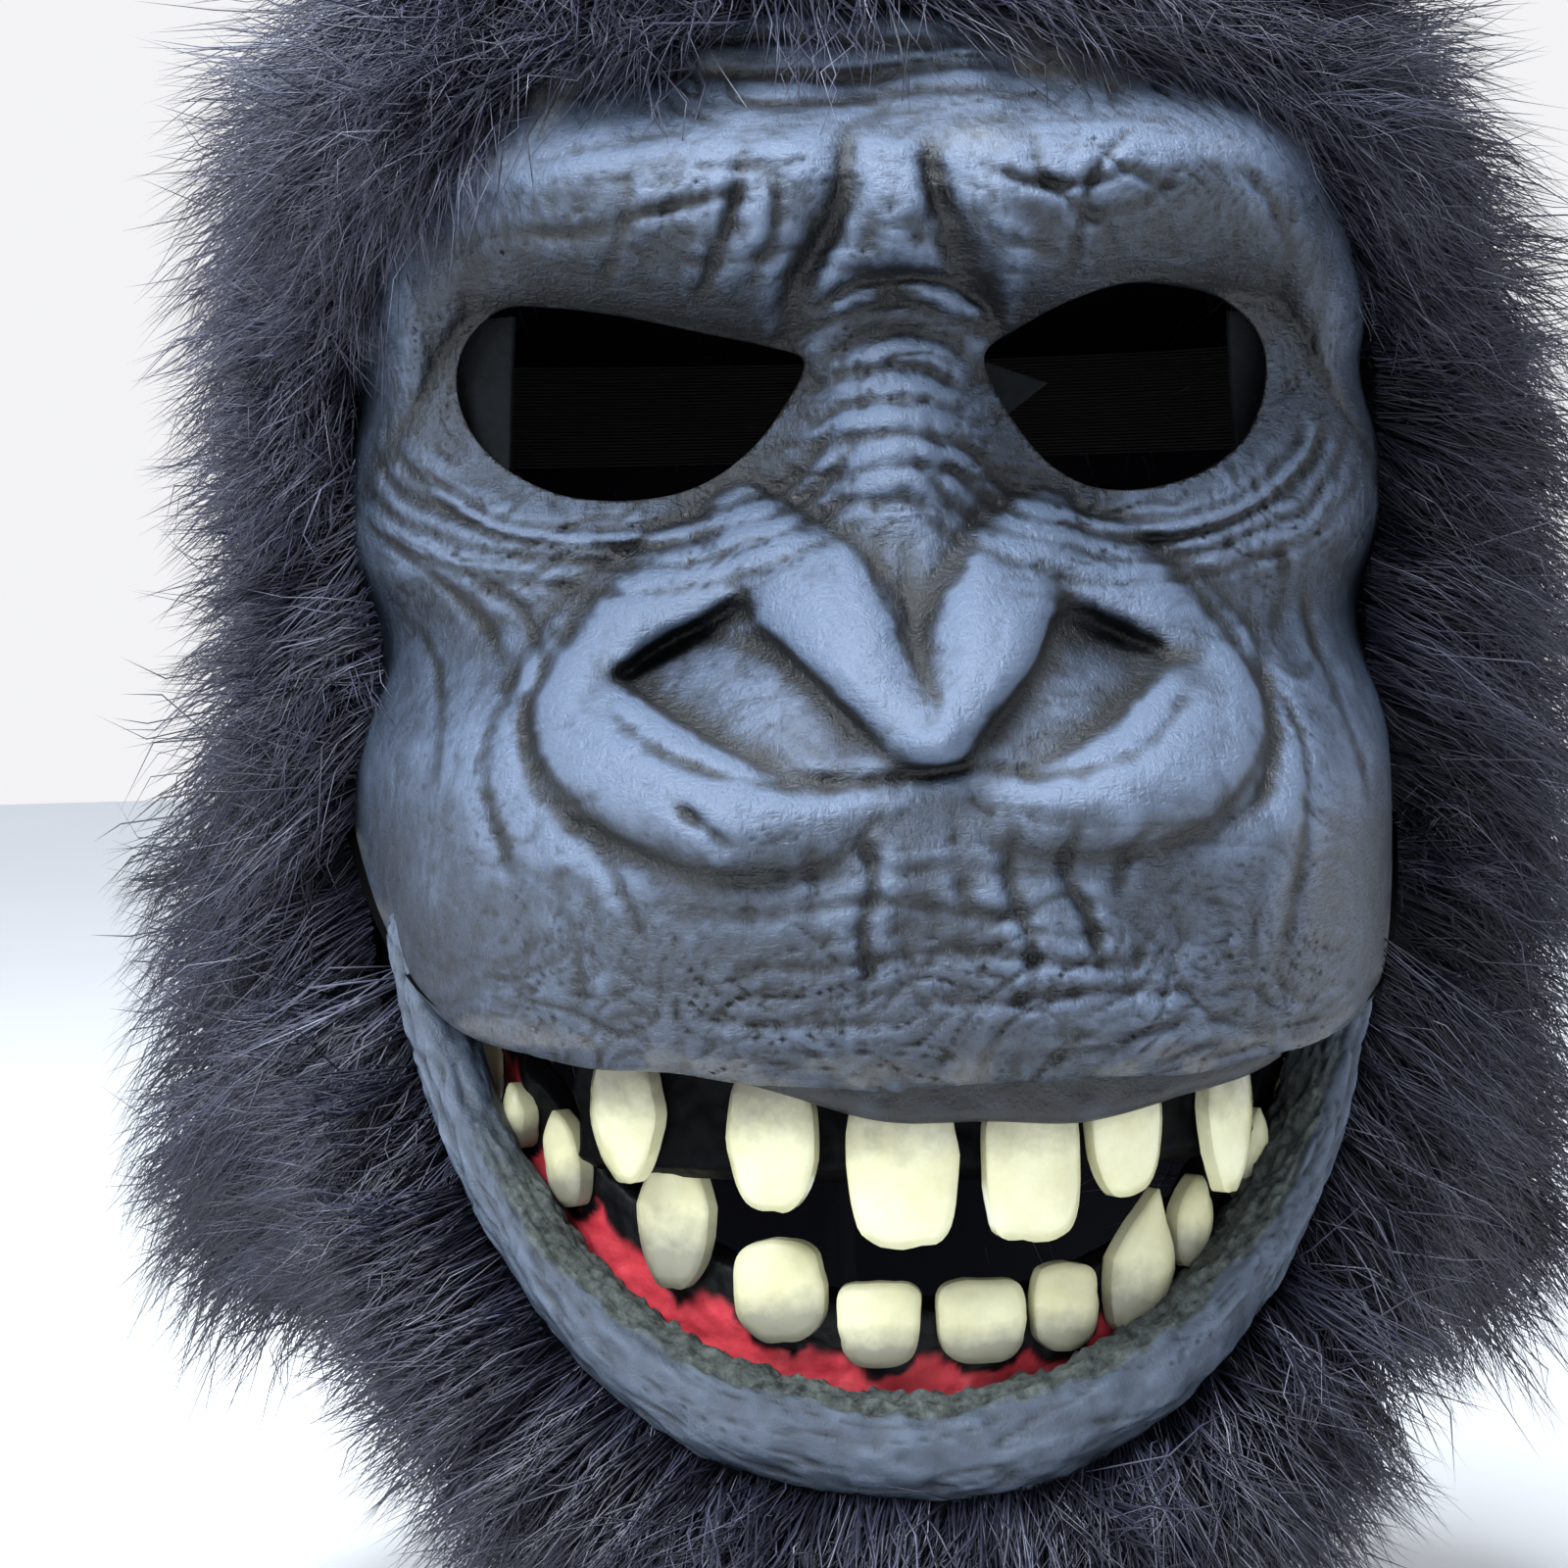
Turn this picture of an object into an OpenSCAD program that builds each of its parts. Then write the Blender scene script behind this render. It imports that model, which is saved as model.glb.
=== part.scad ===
// Gorilla costume mask: a latex face and jaw on a faux-fur hood that covers the whole head.
// Millimetres, as worn. +Z is up, the face looks along -Y, and Z = 0 is the plane of the nape hem.
// Left and right are as seen from in front of the mask.

/* [Head space] */
// Width of the space for the head, at the ears
head_w = 192; // [176:2:204]
// Depth of the space for the head, forehead to back
head_d = 200; // [190:2:210]
// Height where the straight sides turn into the dome
spring_z = 215; // [205:1:225]
// Rise of the dome above that height
dome_h = 135; // [125:1:145]

/* [Fur] */
// Bulk of the pile at the sides
fur_side = 36; // [24:1:44]
// Bulk of the pile at the back and front
fur_back = 24; // [18:1:30]
// Bulk of the pile on top
fur_top = 28; // [20:1:36]

/* [Latex] */
// Wall of the face casting
face_wall = 4; // [3:0.5:5]
// Wall of the jaw casting
jaw_wall = 5; // [4:0.5:6]
// How far the muzzle stands out of the face
muzzle_out = 66; // [58:1:70]
// How far the brow ridge stands out of the forehead
brow_out = 26; // [18:1:30]

/* [Inside fittings] */
// Height of the elastic head strap
strap_h = 20; // [15:1:25]
// Thickness of the foam brow pad
pad_t = 8; // [6:1:10]

/* [Hidden] */

axis_y = 19.65;       // the head's vertical axis, placed so that the mask's depth is even about Y = 0
plan_power = 2.3;     // 2 would make the head's plan an ellipse
neck_in = 0.10;       // how much narrower the hem is than the head
face_top = 296;       // the casting's top edge, under the fur
face_side = 74;       // the casting's side edge, as an angle round the head
lip_z = 112;          // lower edge of the upper lip, at the middle
lip_bow = 6;          // gentle rise of that edge over lip_half
lip_half = 66;
corner_rise = 24;     // its steep rise at the mouth's corners, over corner_half
corner_half = 90;
glue = 0.4;           // a glue line
pad_room = 1.6;       // the brow pad's soft glue, which takes up the casting's rough inside
lining = 1;           // room between the fur's backing and what lies inside it
skin_room = 0.6;      // room between the fur and the casting's front and edges
front_cut = -48;      // the fur's front edge at the sides
opening_half = 90;    // half width of the fur's face opening
crown_half = 40;      // half width of the crown strip
crown_z = 262;        // lower edge of the crown strip
side_seam_y = 30;     // the seam between side and back panels
jaw_gap_half = 80;    // half width kept clear of fur behind that edge, for the jaw's travel
jaw_gap_y = -20;      // how far back it is kept clear
jaw_gap_z = 118;      // and how high
far = 400;            // larger than the mask
nape_half = 56;       // half width of the flap over the nape
shoulder_z = 72;      // height of the hem over the shoulders
tape_h = 14;          // height of the neck tape
tape_side = 36;       // its ends, as an angle round the head from the middle of the back
tape_t = 1.4;         // its thickness
patch_t = 1.2;        // thickness of the fabric patches
strap_t = 1.6;        // thickness of the elastic
seam_room = 0.8;      // thread and glue between strap and patch

gum_t = 4;            // wall of both gum plates
flange_t = 5;         // thickness of the flange that joins a gum plate to its casting
tooth_t = 6;          // thickness of a tooth
tooth_in = 1.5;       // how far a tooth is set into its gum
upper_y = -62;        // centre of the upper arch
upper_r = 66;         // its outer radius
lower_y = -48;        // centre of the lower arch
lower_r = 69;         // its outer radius
upper_gum_z = 94;     // lower edge of the upper gum
upper_plate_z = 124;  // height of its flange
canine_notch = 14;    // how much higher its lower edge is over the lower canines
canine_side = 33;     // where those begin, as an angle from the front
lower_gum_z = 51;     // lower edge of the lower gum at the middle, and height of its flange
lower_gum_h = 20;     // height of the lower gum
gum_climb = 50;       // how much higher its ends are, per turn towards the mouth's corners
lower_side = 78;      // the lower arch's ends, as an angle from the front

jaw_y = -42;          // centre of the jaw's plan
jaw_side = 70;        // the jaw's ends, as an angle round that plan
jaw_half = 87;        // half width of the jaw at the mouth's corners
jaw_out = 89;         // from its centre to the front of the lower lip
jaw_lip_z = 63;       // top of the lower lip at the middle
jaw_base_z = 41;      // underside of the chin at the middle
beard_base_z = 26;    // the beard's lower edge
beard_t = 20;         // the beard's bulk under the chin
beard_side_t = 5.5;   // and at the sides
beard_side = 70;      // its ends, as an angle round the jaw's plan
cup_h = 22;           // height of the chin cup

latex = [0.16, 0.18, 0.22];
fur = [0.09, 0.09, 0.12];
ivory = [0.93, 0.90, 0.74];

// ---------- shapes ----------

// sin or cos bent so that a circle becomes the head's squarer plan
function bend(c) = sign(c) * pow(abs(c), 2 / plan_power);

// the head's half width and half depth at height z, grown by t
function slim(z) = z < spring_z ? 1 - neck_in * pow((spring_z - z) / spring_z, 1.5) : 1;
function dome(z, t) = z > spring_z ? sqrt(max(0, 1 - pow((z - spring_z) / (dome_h + t), 2))) : 1;
function half_w(z, t) = (head_w / 2 + t) * slim(z) * dome(z, t);
function half_d(z, t) = (head_d / 2 + t) * slim(z) * dome(z, t);

// the point at angle a from the front, at height z, t outside the head space
function head_point(a, z, t) =
    [half_w(z, t) * bend(sin(a)), axis_y - half_d(z, t) * bend(cos(a)), z];

function hump(x, z, at_x, at_z, size_x, size_z, height) =
    height * exp(-pow((x - at_x) / size_x, 2) - pow((z - at_z) / size_z, 2));

// how far the sculpture stands out of the head at x, z
function relief(x, z) =
    let (s = abs(x))
    brow_out * exp(-pow(s / 88, 8) - pow((z - 251) / 14, 2))
    + muzzle_out * exp(-pow(s / 88, 6) - pow((z - 132) / 50, 4))
    + hump(s, z, 15, 182, 21, 17, 24)
    + hump(s, z, 0, 212, 15, 26, 20)
    + hump(s, z, 70, 200, 16, 20, 6)
    - hump(s, z, 44, 226, 26, 13, 9)
    - hump(s, z, 0, 250, 9, 16, 5);

// the face casting's surface, in by t
function face_point(a, z, t) =
    let (base = head_point(a, z, -lining), p = head_point(a, z, -lining - t))
    [p.x, p.y - relief(base.x, z), z];

function lip_edge(x) =
    lip_z + lip_bow * pow(abs(x) / lip_half, 1.5) + corner_rise * pow(abs(x) / corner_half, 12);

// the jaw casting's plan, in by t, and its upper and lower edges
function jaw_w(z) = jaw_half - 22 * pow(max(0, (76 - z) / 36), 1.6);
function jaw_d(z) = jaw_out - 24 * pow(max(0, (66 - z) / 26), 1.8);
function jaw_top(a) = jaw_lip_z + 95 * (1 - cos(a));
function jaw_bottom(a) = jaw_base_z + 96 * (1 - cos(a));
function jaw_point(a, z, t) =
    [(jaw_w(z) - t) * sin(a), jaw_y - (jaw_d(z) - t) * cos(a), z];

function spread(from, to, count) = [for (i = [0 : count]) from + (to - from) * i / count];
function joined(rows) = [for (row = rows) each row];

// two triangles of a grid's cell; `out` says which way they face
function cell(i, j, wide, start, out) =
    let (p = start + i * wide + j, q = p + wide)
    out ? [[p, q, q + 1], [p, q + 1, p + 1]] : [[p, q + 1, q], [p, p + 1, q + 1]];

// a strip of wall between matching border points of two grids
function wall(p, q, other) = [[p, q, q + other], [p, q + other, p + other]];

// a closed sheet between an outer and an inner grid of points, rows going up and columns left to right
module sheet(outer, inner) {
    rows = len(outer);
    wide = len(outer[0]);
    n = rows * wide;
    polyhedron(
        points = concat(joined(outer), joined(inner)),
        faces = concat(
            [for (i = [0 : rows - 2], j = [0 : wide - 2]) each cell(i, j, wide, 0, true)],
            [for (i = [0 : rows - 2], j = [0 : wide - 2]) each cell(i, j, wide, n, false)],
            [for (j = [0 : wide - 2]) each wall(j, j + 1, n)],
            [for (j = [0 : wide - 2]) each wall(n - wide + j + 1, n - wide + j, n)],
            [for (i = [0 : rows - 2]) each wall((i + 1) * wide, i * wide, n)],
            [for (i = [0 : rows - 2]) each wall((i + 1) * wide - 1, (i + 2) * wide - 1, n)]),
        convexity = 10);
}

// a piece of the head's own surface, between offsets t_out and t_in
module head_sheet(a0, a1, z0, z1, t_out, t_in, across, up) {
    function grid(t) = [for (z = spread(z0, z1, up)) [for (a = spread(a0, a1, across)) head_point(a, z, t)]];
    sheet(grid(t_out), grid(t_in));
}

// a piece of the face casting's inside, from t_out to t_in behind its front
module face_sheet(a0, a1, z0, z1, t_out, t_in, across, up) {
    function grid(t) = [for (z = spread(z0, z1, up)) [for (a = spread(a0, a1, across)) face_point(a, z, t)]];
    sheet(grid(t_out), grid(t_in));
}

// the whole head as a solid, grown by the pile's bulk
module head_form(side, back, top) {
    across = 72;
    wall_z = spread(0, spring_z, 4);
    tilt = spread(7.5, 82.5, 10);
    rings = concat(
        [for (z = wall_z) [for (k = [0 : across - 1]) let (a = 360 * k / across)
            [(head_w / 2 + side) * slim(z) * bend(sin(a)),
             axis_y - (head_d / 2 + back) * slim(z) * bend(cos(a)), z]]],
        [for (e = tilt) [for (k = [0 : across - 1]) let (a = 360 * k / across)
            [(head_w / 2 + side) * cos(e) * bend(sin(a)),
             axis_y - (head_d / 2 + back) * cos(e) * bend(cos(a)), spring_z + (dome_h + top) * sin(e)]]]);
    count = len(rings);
    apex = count * across;
    polyhedron(
        points = concat(joined(rings), [[0, axis_y, spring_z + dome_h + top], [0, axis_y, 0]]),
        faces = concat(
            [for (i = [0 : count - 2], k = [0 : across - 1]) let (m = (k + 1) % across)
                each [[i * across + k, (i + 1) * across + k, (i + 1) * across + m],
                      [i * across + k, (i + 1) * across + m, i * across + m]]],
            [for (k = [0 : across - 1]) [(count - 1) * across + k, apex, (count - 1) * across + (k + 1) % across]],
            [for (k = [0 : across - 1]) [k, (k + 1) % across, apex + 1]]),
        convexity = 4);
}

// ---------- latex face ----------

// outlines of the hand-cut eye holes, seen from in front
left_eye = [[-14, 230], [-26, 235], [-44, 240], [-62, 242], [-70, 236], [-70, 222],
            [-60, 213], [-44, 208], [-30, 211], [-20, 219]];
right_eye = [[17, 231], [28, 237], [42, 242], [57, 241], [66, 234], [66, 222], [57, 212], [40, 207],
             [27, 211], [20, 220]];

module eye_cut(outline) {
    translate([0, -20, 0]) rotate([90, 0, 0])
        linear_extrude(140) offset(r = 3, $fn = 24) offset(delta = -3) polygon(outline);
}

face_rows = spread(0, 1, 34);
face_columns = spread(-face_side, face_side, 46);

// the casting's points, in by t, at shares of its height and at angles from the front
function face_grid(rows, columns, t) =
    [for (up = rows) [for (a = columns)
        let (edge = lip_edge(face_point(a, lip_z, 0).x))
        face_point(a, edge + (face_top - edge) * up, t)]];

module face_shell() {
    color(latex) difference() {
        sheet(face_grid(face_rows, face_columns, 0), face_grid(face_rows, face_columns, face_wall));
        eye_cut(left_eye);
        eye_cut(right_eye);
    }
}

// ---------- gums and teeth ----------

// a bent gum wall about [0, y], reaching an angle of side both ways, with edges low(a) and high(a)
module gum_wall(y, r, side, low, high) {
    function grid(r) = [for (up = spread(0, 1, 4)) [for (a = spread(-side, side, 40))
        [r * sin(a), y - r * cos(a), low(a) + (high(a) - low(a)) * up]]];
    sheet(grid(r), grid(r - gum_t));
}

// a flat flange from the middle of a gum wall to the rim of its casting
module gum_flange(y, r, side, z, rim) {
    mid = r - gum_t / 2;
    back = [for (a = spread(side, -side, 16)) [mid * sin(a), y - mid * cos(a)]];
    translate([0, 0, z]) linear_extrude(flange_t) polygon(concat(rim, back));
}

module upper_gum() {
    rim = [for (a = spread(-40, 40, 16)) let (p = face_point(a, upper_plate_z, face_wall - 1)) [p.x, p.y]];
    color([0.06, 0.06, 0.08]) union() {
        gum_wall(upper_y, upper_r, 56,
            function(a) upper_gum_z + canine_notch * min(1, pow(a / canine_side, 8)),
            function(a) upper_plate_z + flange_t - 1);
        gum_flange(upper_y, upper_r, 48, upper_plate_z, rim);
    }
}

module lower_gum() {
    rim = [for (a = spread(-26, 26, 12)) let (p = jaw_point(a, lower_gum_z + 1, jaw_wall - 1)) [p.x, p.y]];
    color([0.75, 0.16, 0.20]) union() {
        gum_wall(lower_y, lower_r, lower_side,
            function(a) lower_gum_z + gum_climb * (1 - cos(a)),
            function(a) lower_gum_z + lower_gum_h + gum_climb * (1 - cos(a)));
        gum_flange(lower_y, lower_r, 28, lower_gum_z + 1, rim);
    }
}

// a tooth standing on an arch at angle a from the front, its outline drawn about height z
module tooth(y, r, a, z, lean, outline) {
    color(ivory) translate([0, y, 0]) rotate([0, 0, a])
        translate([0, -(r - tooth_in), z]) rotate([0, lean, 0]) rotate([90, 0, 0])
            linear_extrude(tooth_t) offset(r = 1.5, $fn = 16) offset(delta = -1.5) polygon(outline);
}

// tooth outlines, hanging down; standing() turns them up
function block_tooth(w, up, down) =
    [[-w / 2, up], [w / 2, up], [w / 2, -down + 4], [w / 2 - 3, -down], [-w / 2 + 3, -down], [-w / 2, -down + 4]];
function round_tooth(w, up, down) =
    [[-w / 2, up], [w / 2, up], [w / 2, 0], [w / 2 - 2.5, -down * 0.7], [0, -down],
     [-w / 2 + 2.5, -down * 0.7], [-w / 2, 0]];
function fang(w, up, down) =
    [[-w / 3, up], [w / 3, up], [w / 2, 0], [w / 6, -down], [-w / 6, -down], [-w / 2, 0]];
function standing(outline) = [for (i = [len(outline) - 1 : -1 : 0]) [outline[i].x, -outline[i].y]];

module upper_tooth(a, z, outline) tooth(upper_y, upper_r, a, z, 0, outline);
module lower_tooth(a, z, lean, outline) tooth(lower_y, lower_r, a, z, lean, standing(outline));

module upper_far_tooth_left() upper_tooth(-45, 108, round_tooth(13.5, 10, 11));
module upper_side_tooth_left() upper_tooth(-21.5, 106, round_tooth(13.5, 12, 10));
module upper_incisor_left() upper_tooth(-4, 103, block_tooth(16.5, 14, 13));
module upper_incisor_right() upper_tooth(13.5, 103, block_tooth(15, 14, 13));
module upper_side_tooth_right() upper_tooth(27.5, 106, round_tooth(12.5, 12, 9));
module upper_far_tooth_right() upper_tooth(47, 106, round_tooth(13, 10, 12));

module lower_corner_tooth_left() lower_tooth(-75, 108, -14, fang(6, 8, 7));
module lower_far_tooth_left() lower_tooth(-63, 104, -12, fang(6, 8, 8));
module lower_molar_left() lower_tooth(-53, 99, -14, round_tooth(9.5, 8, 9));
module lower_canine_left() lower_tooth(-34, 91, -8, fang(12.5, 12, 15));
module lower_side_tooth_left() lower_tooth(-19.5, 81, -5, round_tooth(14, 9, 8));
module lower_incisor_left() lower_tooth(-6.5, 76, 0, round_tooth(12, 8, 6));
module lower_incisor_right() lower_tooth(6.5, 76, 0, block_tooth(12.5, 8, 6.5));
module lower_side_tooth_right() lower_tooth(18, 78, 3, round_tooth(10, 8, 6.5));
module lower_canine_right() lower_tooth(29.5, 82, 10, fang(12.5, 10, 11));
module lower_molar_right() lower_tooth(38.5, 88, 12, round_tooth(7, 8, 7));
module lower_far_tooth_right() lower_tooth(52, 97, 14, fang(7, 8, 9));
module lower_corner_tooth_right() lower_tooth(66, 104, 14, fang(6, 8, 8));

// ---------- jaw ----------

module jaw_shell() {
    function grid(t) = [for (up = spread(0, 1, 10)) [for (a = spread(-jaw_side, jaw_side, 36))
        let (z = jaw_bottom(a) + (jaw_top(a) - jaw_bottom(a)) * up)
        jaw_point(a, z, t - 3 * sin(180 * up))]];
    color(latex) sheet(grid(0), grid(jaw_wall));
}

// foam block behind the lower gum, hollowed for the wearer's chin
module chin_cup() {
    inside_r = lower_r - gum_t - glue;
    color([0.25, 0.25, 0.27]) difference() {
        intersection() {
            translate([0, lower_y, lower_gum_z]) cylinder(h = cup_h, r = inside_r, $fn = 96);
            translate([-34, -far, 0]) cube([68, far - 74, far]);
        }
        translate([0, -60, lower_gum_z + 36]) sphere(r = 30, $fn = 64);
    }
}

// the beard is thick under the chin, and thin at the sides, where the lower gum is behind it
module fur_beard() {
    function beard_w(z) = 78 - 12 * pow(max(0, 75 - z) / 55, 2);
    function beard_d(z) = 84 - 14 * pow(max(0, 75 - z) / 55, 2);
    function bulk(a) = max(beard_side_t, beard_t - 62 * (1 - cos(a)));
    function point(a, z, t) = [(beard_w(z) - t) * sin(a), jaw_y - (beard_d(z) - t) * cos(a), z];
    function top(a) = jaw_bottom(a) - 2 - 8 * pow(sin(a), 2);
    function grid(share) = [for (up = spread(0, 1, 5)) [for (a = spread(-beard_side, beard_side, 30))
        point(a, beard_base_z + (top(a) - beard_base_z) * up, share * bulk(a))]];
    color(fur) sheet(grid(0), grid(1));
}

// ---------- fur hood ----------

// widens towards the front, so that the pile slopes away from the face's edge
module face_opening() {
    outline = [[-opening_half, -300], [opening_half, -300], [opening_half, 36], [70, 68], [42, 84], [0, 88],
               [-42, 84], [-70, 68], [-opening_half, 36]];
    translate([0, front_cut, 200]) rotate([90, 0, 0])
        linear_extrude(80, scale = 1.5) offset(r = 8, $fn = 24) offset(delta = -8) polygon(outline);
}

// the casting and the space behind it
module face_room() {
    rows = concat([-0.02], face_rows, [1.01]);
    columns = concat([-face_side - 1], face_columns, [face_side + 1]);
    sheet(face_grid(rows, columns, -skin_room), face_grid(rows, columns, 30));
}

// the space that the jaw and beard swing into
module jaw_room() {
    translate([-jaw_gap_half, -far, -1]) cube([2 * jaw_gap_half, far + jaw_gap_y, jaw_gap_z + 1]);
}

// the arches that the hem makes over the shoulders
module shoulder_room() {
    outline = [[nape_half, -1], [nape_half, 40], [nape_half + 14, shoulder_z - 14],
               [nape_half + 34, shoulder_z - 3], [far, shoulder_z], [far, -1]];
    for (side = [0, 1]) mirror([side, 0, 0])
        translate([0, far, 0]) rotate([90, 0, 0]) linear_extrude(2 * far) polygon(outline);
}

// the pile and backing of the whole hood, cut down to the space that its child fills
module fur_panel() {
    color(fur) intersection() {
        difference() {
            head_form(fur_side, fur_back, fur_top);
            translate([0, 0, -0.01]) head_form(0, 0, 0);
            face_opening();
            face_room();
            jaw_room();
            shoulder_room();
        }
        children();
    }
}

module crown_space() {
    translate([-crown_half, -far, crown_z]) cube([2 * crown_half, 2 * far, far]);
}

// all but the crown strip, on one side (-1 or 1) and between two depths
module flank_space(side, y0, y1) {
    difference() {
        translate([side < 0 ? -far : 0, y0, -1]) cube([far, y1 - y0, far + 1]);
        crown_space();
    }
}

module fur_crown() fur_panel() crown_space();
module fur_side_left() fur_panel() flank_space(-1, -far, side_seam_y);
module fur_side_right() fur_panel() flank_space(1, -far, side_seam_y);
module fur_back_left() fur_panel() flank_space(-1, side_seam_y, far);
module fur_back_right() fur_panel() flank_space(1, side_seam_y, far);

// woven tape along the inside of the nape hem
module neck_tape() {
    color([0.05, 0.05, 0.06])
        head_sheet(180 - tape_side, 180 + tape_side, 0, tape_h, -lining, -lining - tape_t, 24, 1);
}

// ---------- inside fittings ----------

module brow_pad() {
    start = face_wall + pad_room;
    color([0.30, 0.30, 0.32]) face_sheet(-34, 34, 248, 264, start, start + pad_t, 22, 8);
}

// fabric patch glued behind the bridge of the nose; its point shows in the right eye hole
module nose_patch() {
    start = face_wall + glue;
    color([0.13, 0.15, 0.15]) intersection() {
        face_sheet(-22, 22, 214, 241, start, start + patch_t, 12, 8);
        rotate([90, 0, 0]) linear_extrude(far)
            polygon([[-13, 239], [15, 239], [28, 225], [14, 217], [-13, 219]]);
    }
}

// fabric patch that carries an end of the head strap; its front edge shows in the eye hole
module temple_patch(side) {
    start = face_wall + glue;
    color([0.10, 0.12, 0.15]) mirror([side < 0 ? 1 : 0, 0, 0])
        face_sheet(46, 72, 203, 246, start, start + patch_t, 10, 12);
}
module temple_patch_left() temple_patch(-1);
module temple_patch_right() temple_patch(1);

// elastic from one temple patch round the back of the head to the other
module head_strap() {
    inward = lining + face_wall + glue + patch_t + seam_room;
    color([0.04, 0.04, 0.05])
        head_sheet(66, 294, 216, 216 + strap_h, -inward, -inward - strap_t, 56, 2);
}

face_shell();
upper_gum();
upper_far_tooth_left();
upper_side_tooth_left();
upper_incisor_left();
upper_incisor_right();
upper_side_tooth_right();
upper_far_tooth_right();
brow_pad();
nose_patch();
temple_patch_left();
temple_patch_right();
head_strap();
fur_crown();
fur_side_left();
fur_side_right();
fur_back_left();
fur_back_right();
neck_tape();
jaw_shell();
lower_gum();
chin_cup();
fur_beard();
lower_corner_tooth_left();
lower_far_tooth_left();
lower_molar_left();
lower_canine_left();
lower_side_tooth_left();
lower_incisor_left();
lower_incisor_right();
lower_side_tooth_right();
lower_canine_right();
lower_molar_right();
lower_far_tooth_right();
lower_corner_tooth_right();
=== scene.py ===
"""Looks for a gorilla costume mask: cast-latex face and jaw, painted teeth and a faux-fur hood."""

import math

import bpy
import numpy as np
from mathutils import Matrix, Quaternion, Vector, kdtree


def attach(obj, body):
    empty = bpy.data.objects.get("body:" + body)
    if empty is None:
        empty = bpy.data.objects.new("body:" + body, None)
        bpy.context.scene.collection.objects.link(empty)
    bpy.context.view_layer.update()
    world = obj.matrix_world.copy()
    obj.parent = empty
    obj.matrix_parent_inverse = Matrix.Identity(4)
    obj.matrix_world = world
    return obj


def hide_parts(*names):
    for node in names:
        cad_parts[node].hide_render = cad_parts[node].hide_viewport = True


bl_info = {
    "name": "Gorilla costume mask",
    "version": (1, 0, 0),
    "blender": (4, 5, 0),
    "location": "3D View > Sidebar > Gorilla Mask",
    "description": "Builds the latex, teeth and fur of a gorilla costume mask around its CAD frame",
    "category": "Add Mesh",
}

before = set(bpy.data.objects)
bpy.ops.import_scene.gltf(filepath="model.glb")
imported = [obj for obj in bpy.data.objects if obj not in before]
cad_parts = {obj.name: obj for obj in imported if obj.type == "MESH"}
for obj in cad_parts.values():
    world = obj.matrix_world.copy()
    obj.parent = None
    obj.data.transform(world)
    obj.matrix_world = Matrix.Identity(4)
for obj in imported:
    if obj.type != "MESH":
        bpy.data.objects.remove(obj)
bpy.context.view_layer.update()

MM = 0.001

# ---------------------------------------------------------------- head space, in millimetres
HEAD_W = 192.0
HEAD_D = 200.0
SPRING_Z = 215.0
DOME_H = 135.0
AXIS_Y = 19.65
PLAN_POWER = 2.3
NECK_IN = 0.10
LIP_Z = 112.0
FACE_TOP = 296.0
FACE_HALF = 92.5
CAST_NARROW = 0.985  # the casting follows the head a little nearer its middle than it lies
CAST_SINK = -1.2
TOWARDS_FRONT = (0.0, -1.0, 0.0)

# hand-cut eye holes, seen from in front: (x, z)
LEFT_EYE = [(-14, 230), (-20, 233), (-32, 236), (-44, 239), (-56, 241), (-64, 241), (-70, 236), (-72, 229),
            (-70, 221), (-64, 214), (-54, 209), (-42, 208), (-32, 210), (-24, 215), (-18, 222)]
RIGHT_EYE = [(16, 231), (22, 235), (30, 239), (40, 242), (50, 242), (59, 240), (66, 234), (67, 226),
             (63, 217), (55, 211), (45, 208), (35, 208), (27, 212), (21, 219), (17, 226)]


def slim(z):
    low = np.clip((SPRING_Z - z) / SPRING_Z, 0, 1)
    return 1 - NECK_IN * low ** 1.5


def dome(z, grow=0.0):
    up = np.clip((z - SPRING_Z) / (DOME_H + grow), 0, 1)
    return np.sqrt(np.clip(1 - up ** 2, 0, 1))


def half_width(z, grow=0.0):
    return (HEAD_W / 2 + grow) * slim(z) * dome(z, grow)


def half_depth(z, grow=0.0):
    return (HEAD_D / 2 + grow) * slim(z) * dome(z, grow)


def head_front(x, z, grow=0.0):
    """How far forward the head's surface is at x and z."""
    w = np.maximum(half_width(z, grow), 1)
    q = np.clip(np.abs(x) / w, 0, 1) ** PLAN_POWER
    return AXIS_Y - half_depth(z, grow) * (1 - q) ** (1 / PLAN_POWER)


def cast_front(x, z):
    """How far forward the face casting would be with nothing sculpted on it."""
    return head_front(x * CAST_NARROW, z, CAST_SINK)


def lip_edge(x):
    s = np.abs(x)
    left = 3 + 4.5 * (s / 66) ** 1.3 + 20 * (s / 90) ** 12
    right = 3 + 2.0 * (s / 66) ** 1.5 + 26 * (s / 92) ** 18
    return LIP_Z + np.where(x < 0, left, right) + 0.4 * np.sin(x / 9.0) + 0.3 * np.sin(x / 3.7)


# ---------------------------------------------------------------- sculpting tools
def unit(v):
    return v / (np.linalg.norm(v, axis=1, keepdims=True) + 1e-9)


def smooth(lo, hi, t):
    q = np.clip((t - lo) / (hi - lo), 0, 1)
    return q * q * (3 - 2 * q)


def between(a, b, c, d, f):
    """The point a share f of the way from b to c, on a smooth line that passes a and d too."""
    return 0.5 * (2 * b + (c - a) * f + (2 * a - 5 * b + 4 * c - d) * f ** 2
                  + (3 * b - a - 3 * c + d) * f ** 3)


def curve(points, steps=5):
    """A smooth line through points."""
    p = np.array(points, float)
    if len(p) < 3:
        return p
    ends = np.vstack([2 * p[0] - p[1], p, 2 * p[-1] - p[-2]])
    found = []
    for k in range(len(p) - 1):
        a, b, c, d = ends[k:k + 4]
        for f in np.arange(steps) / steps:
            found.append(between(a, b, c, d, f))
    return np.vstack([found, p[-1:]])


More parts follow.
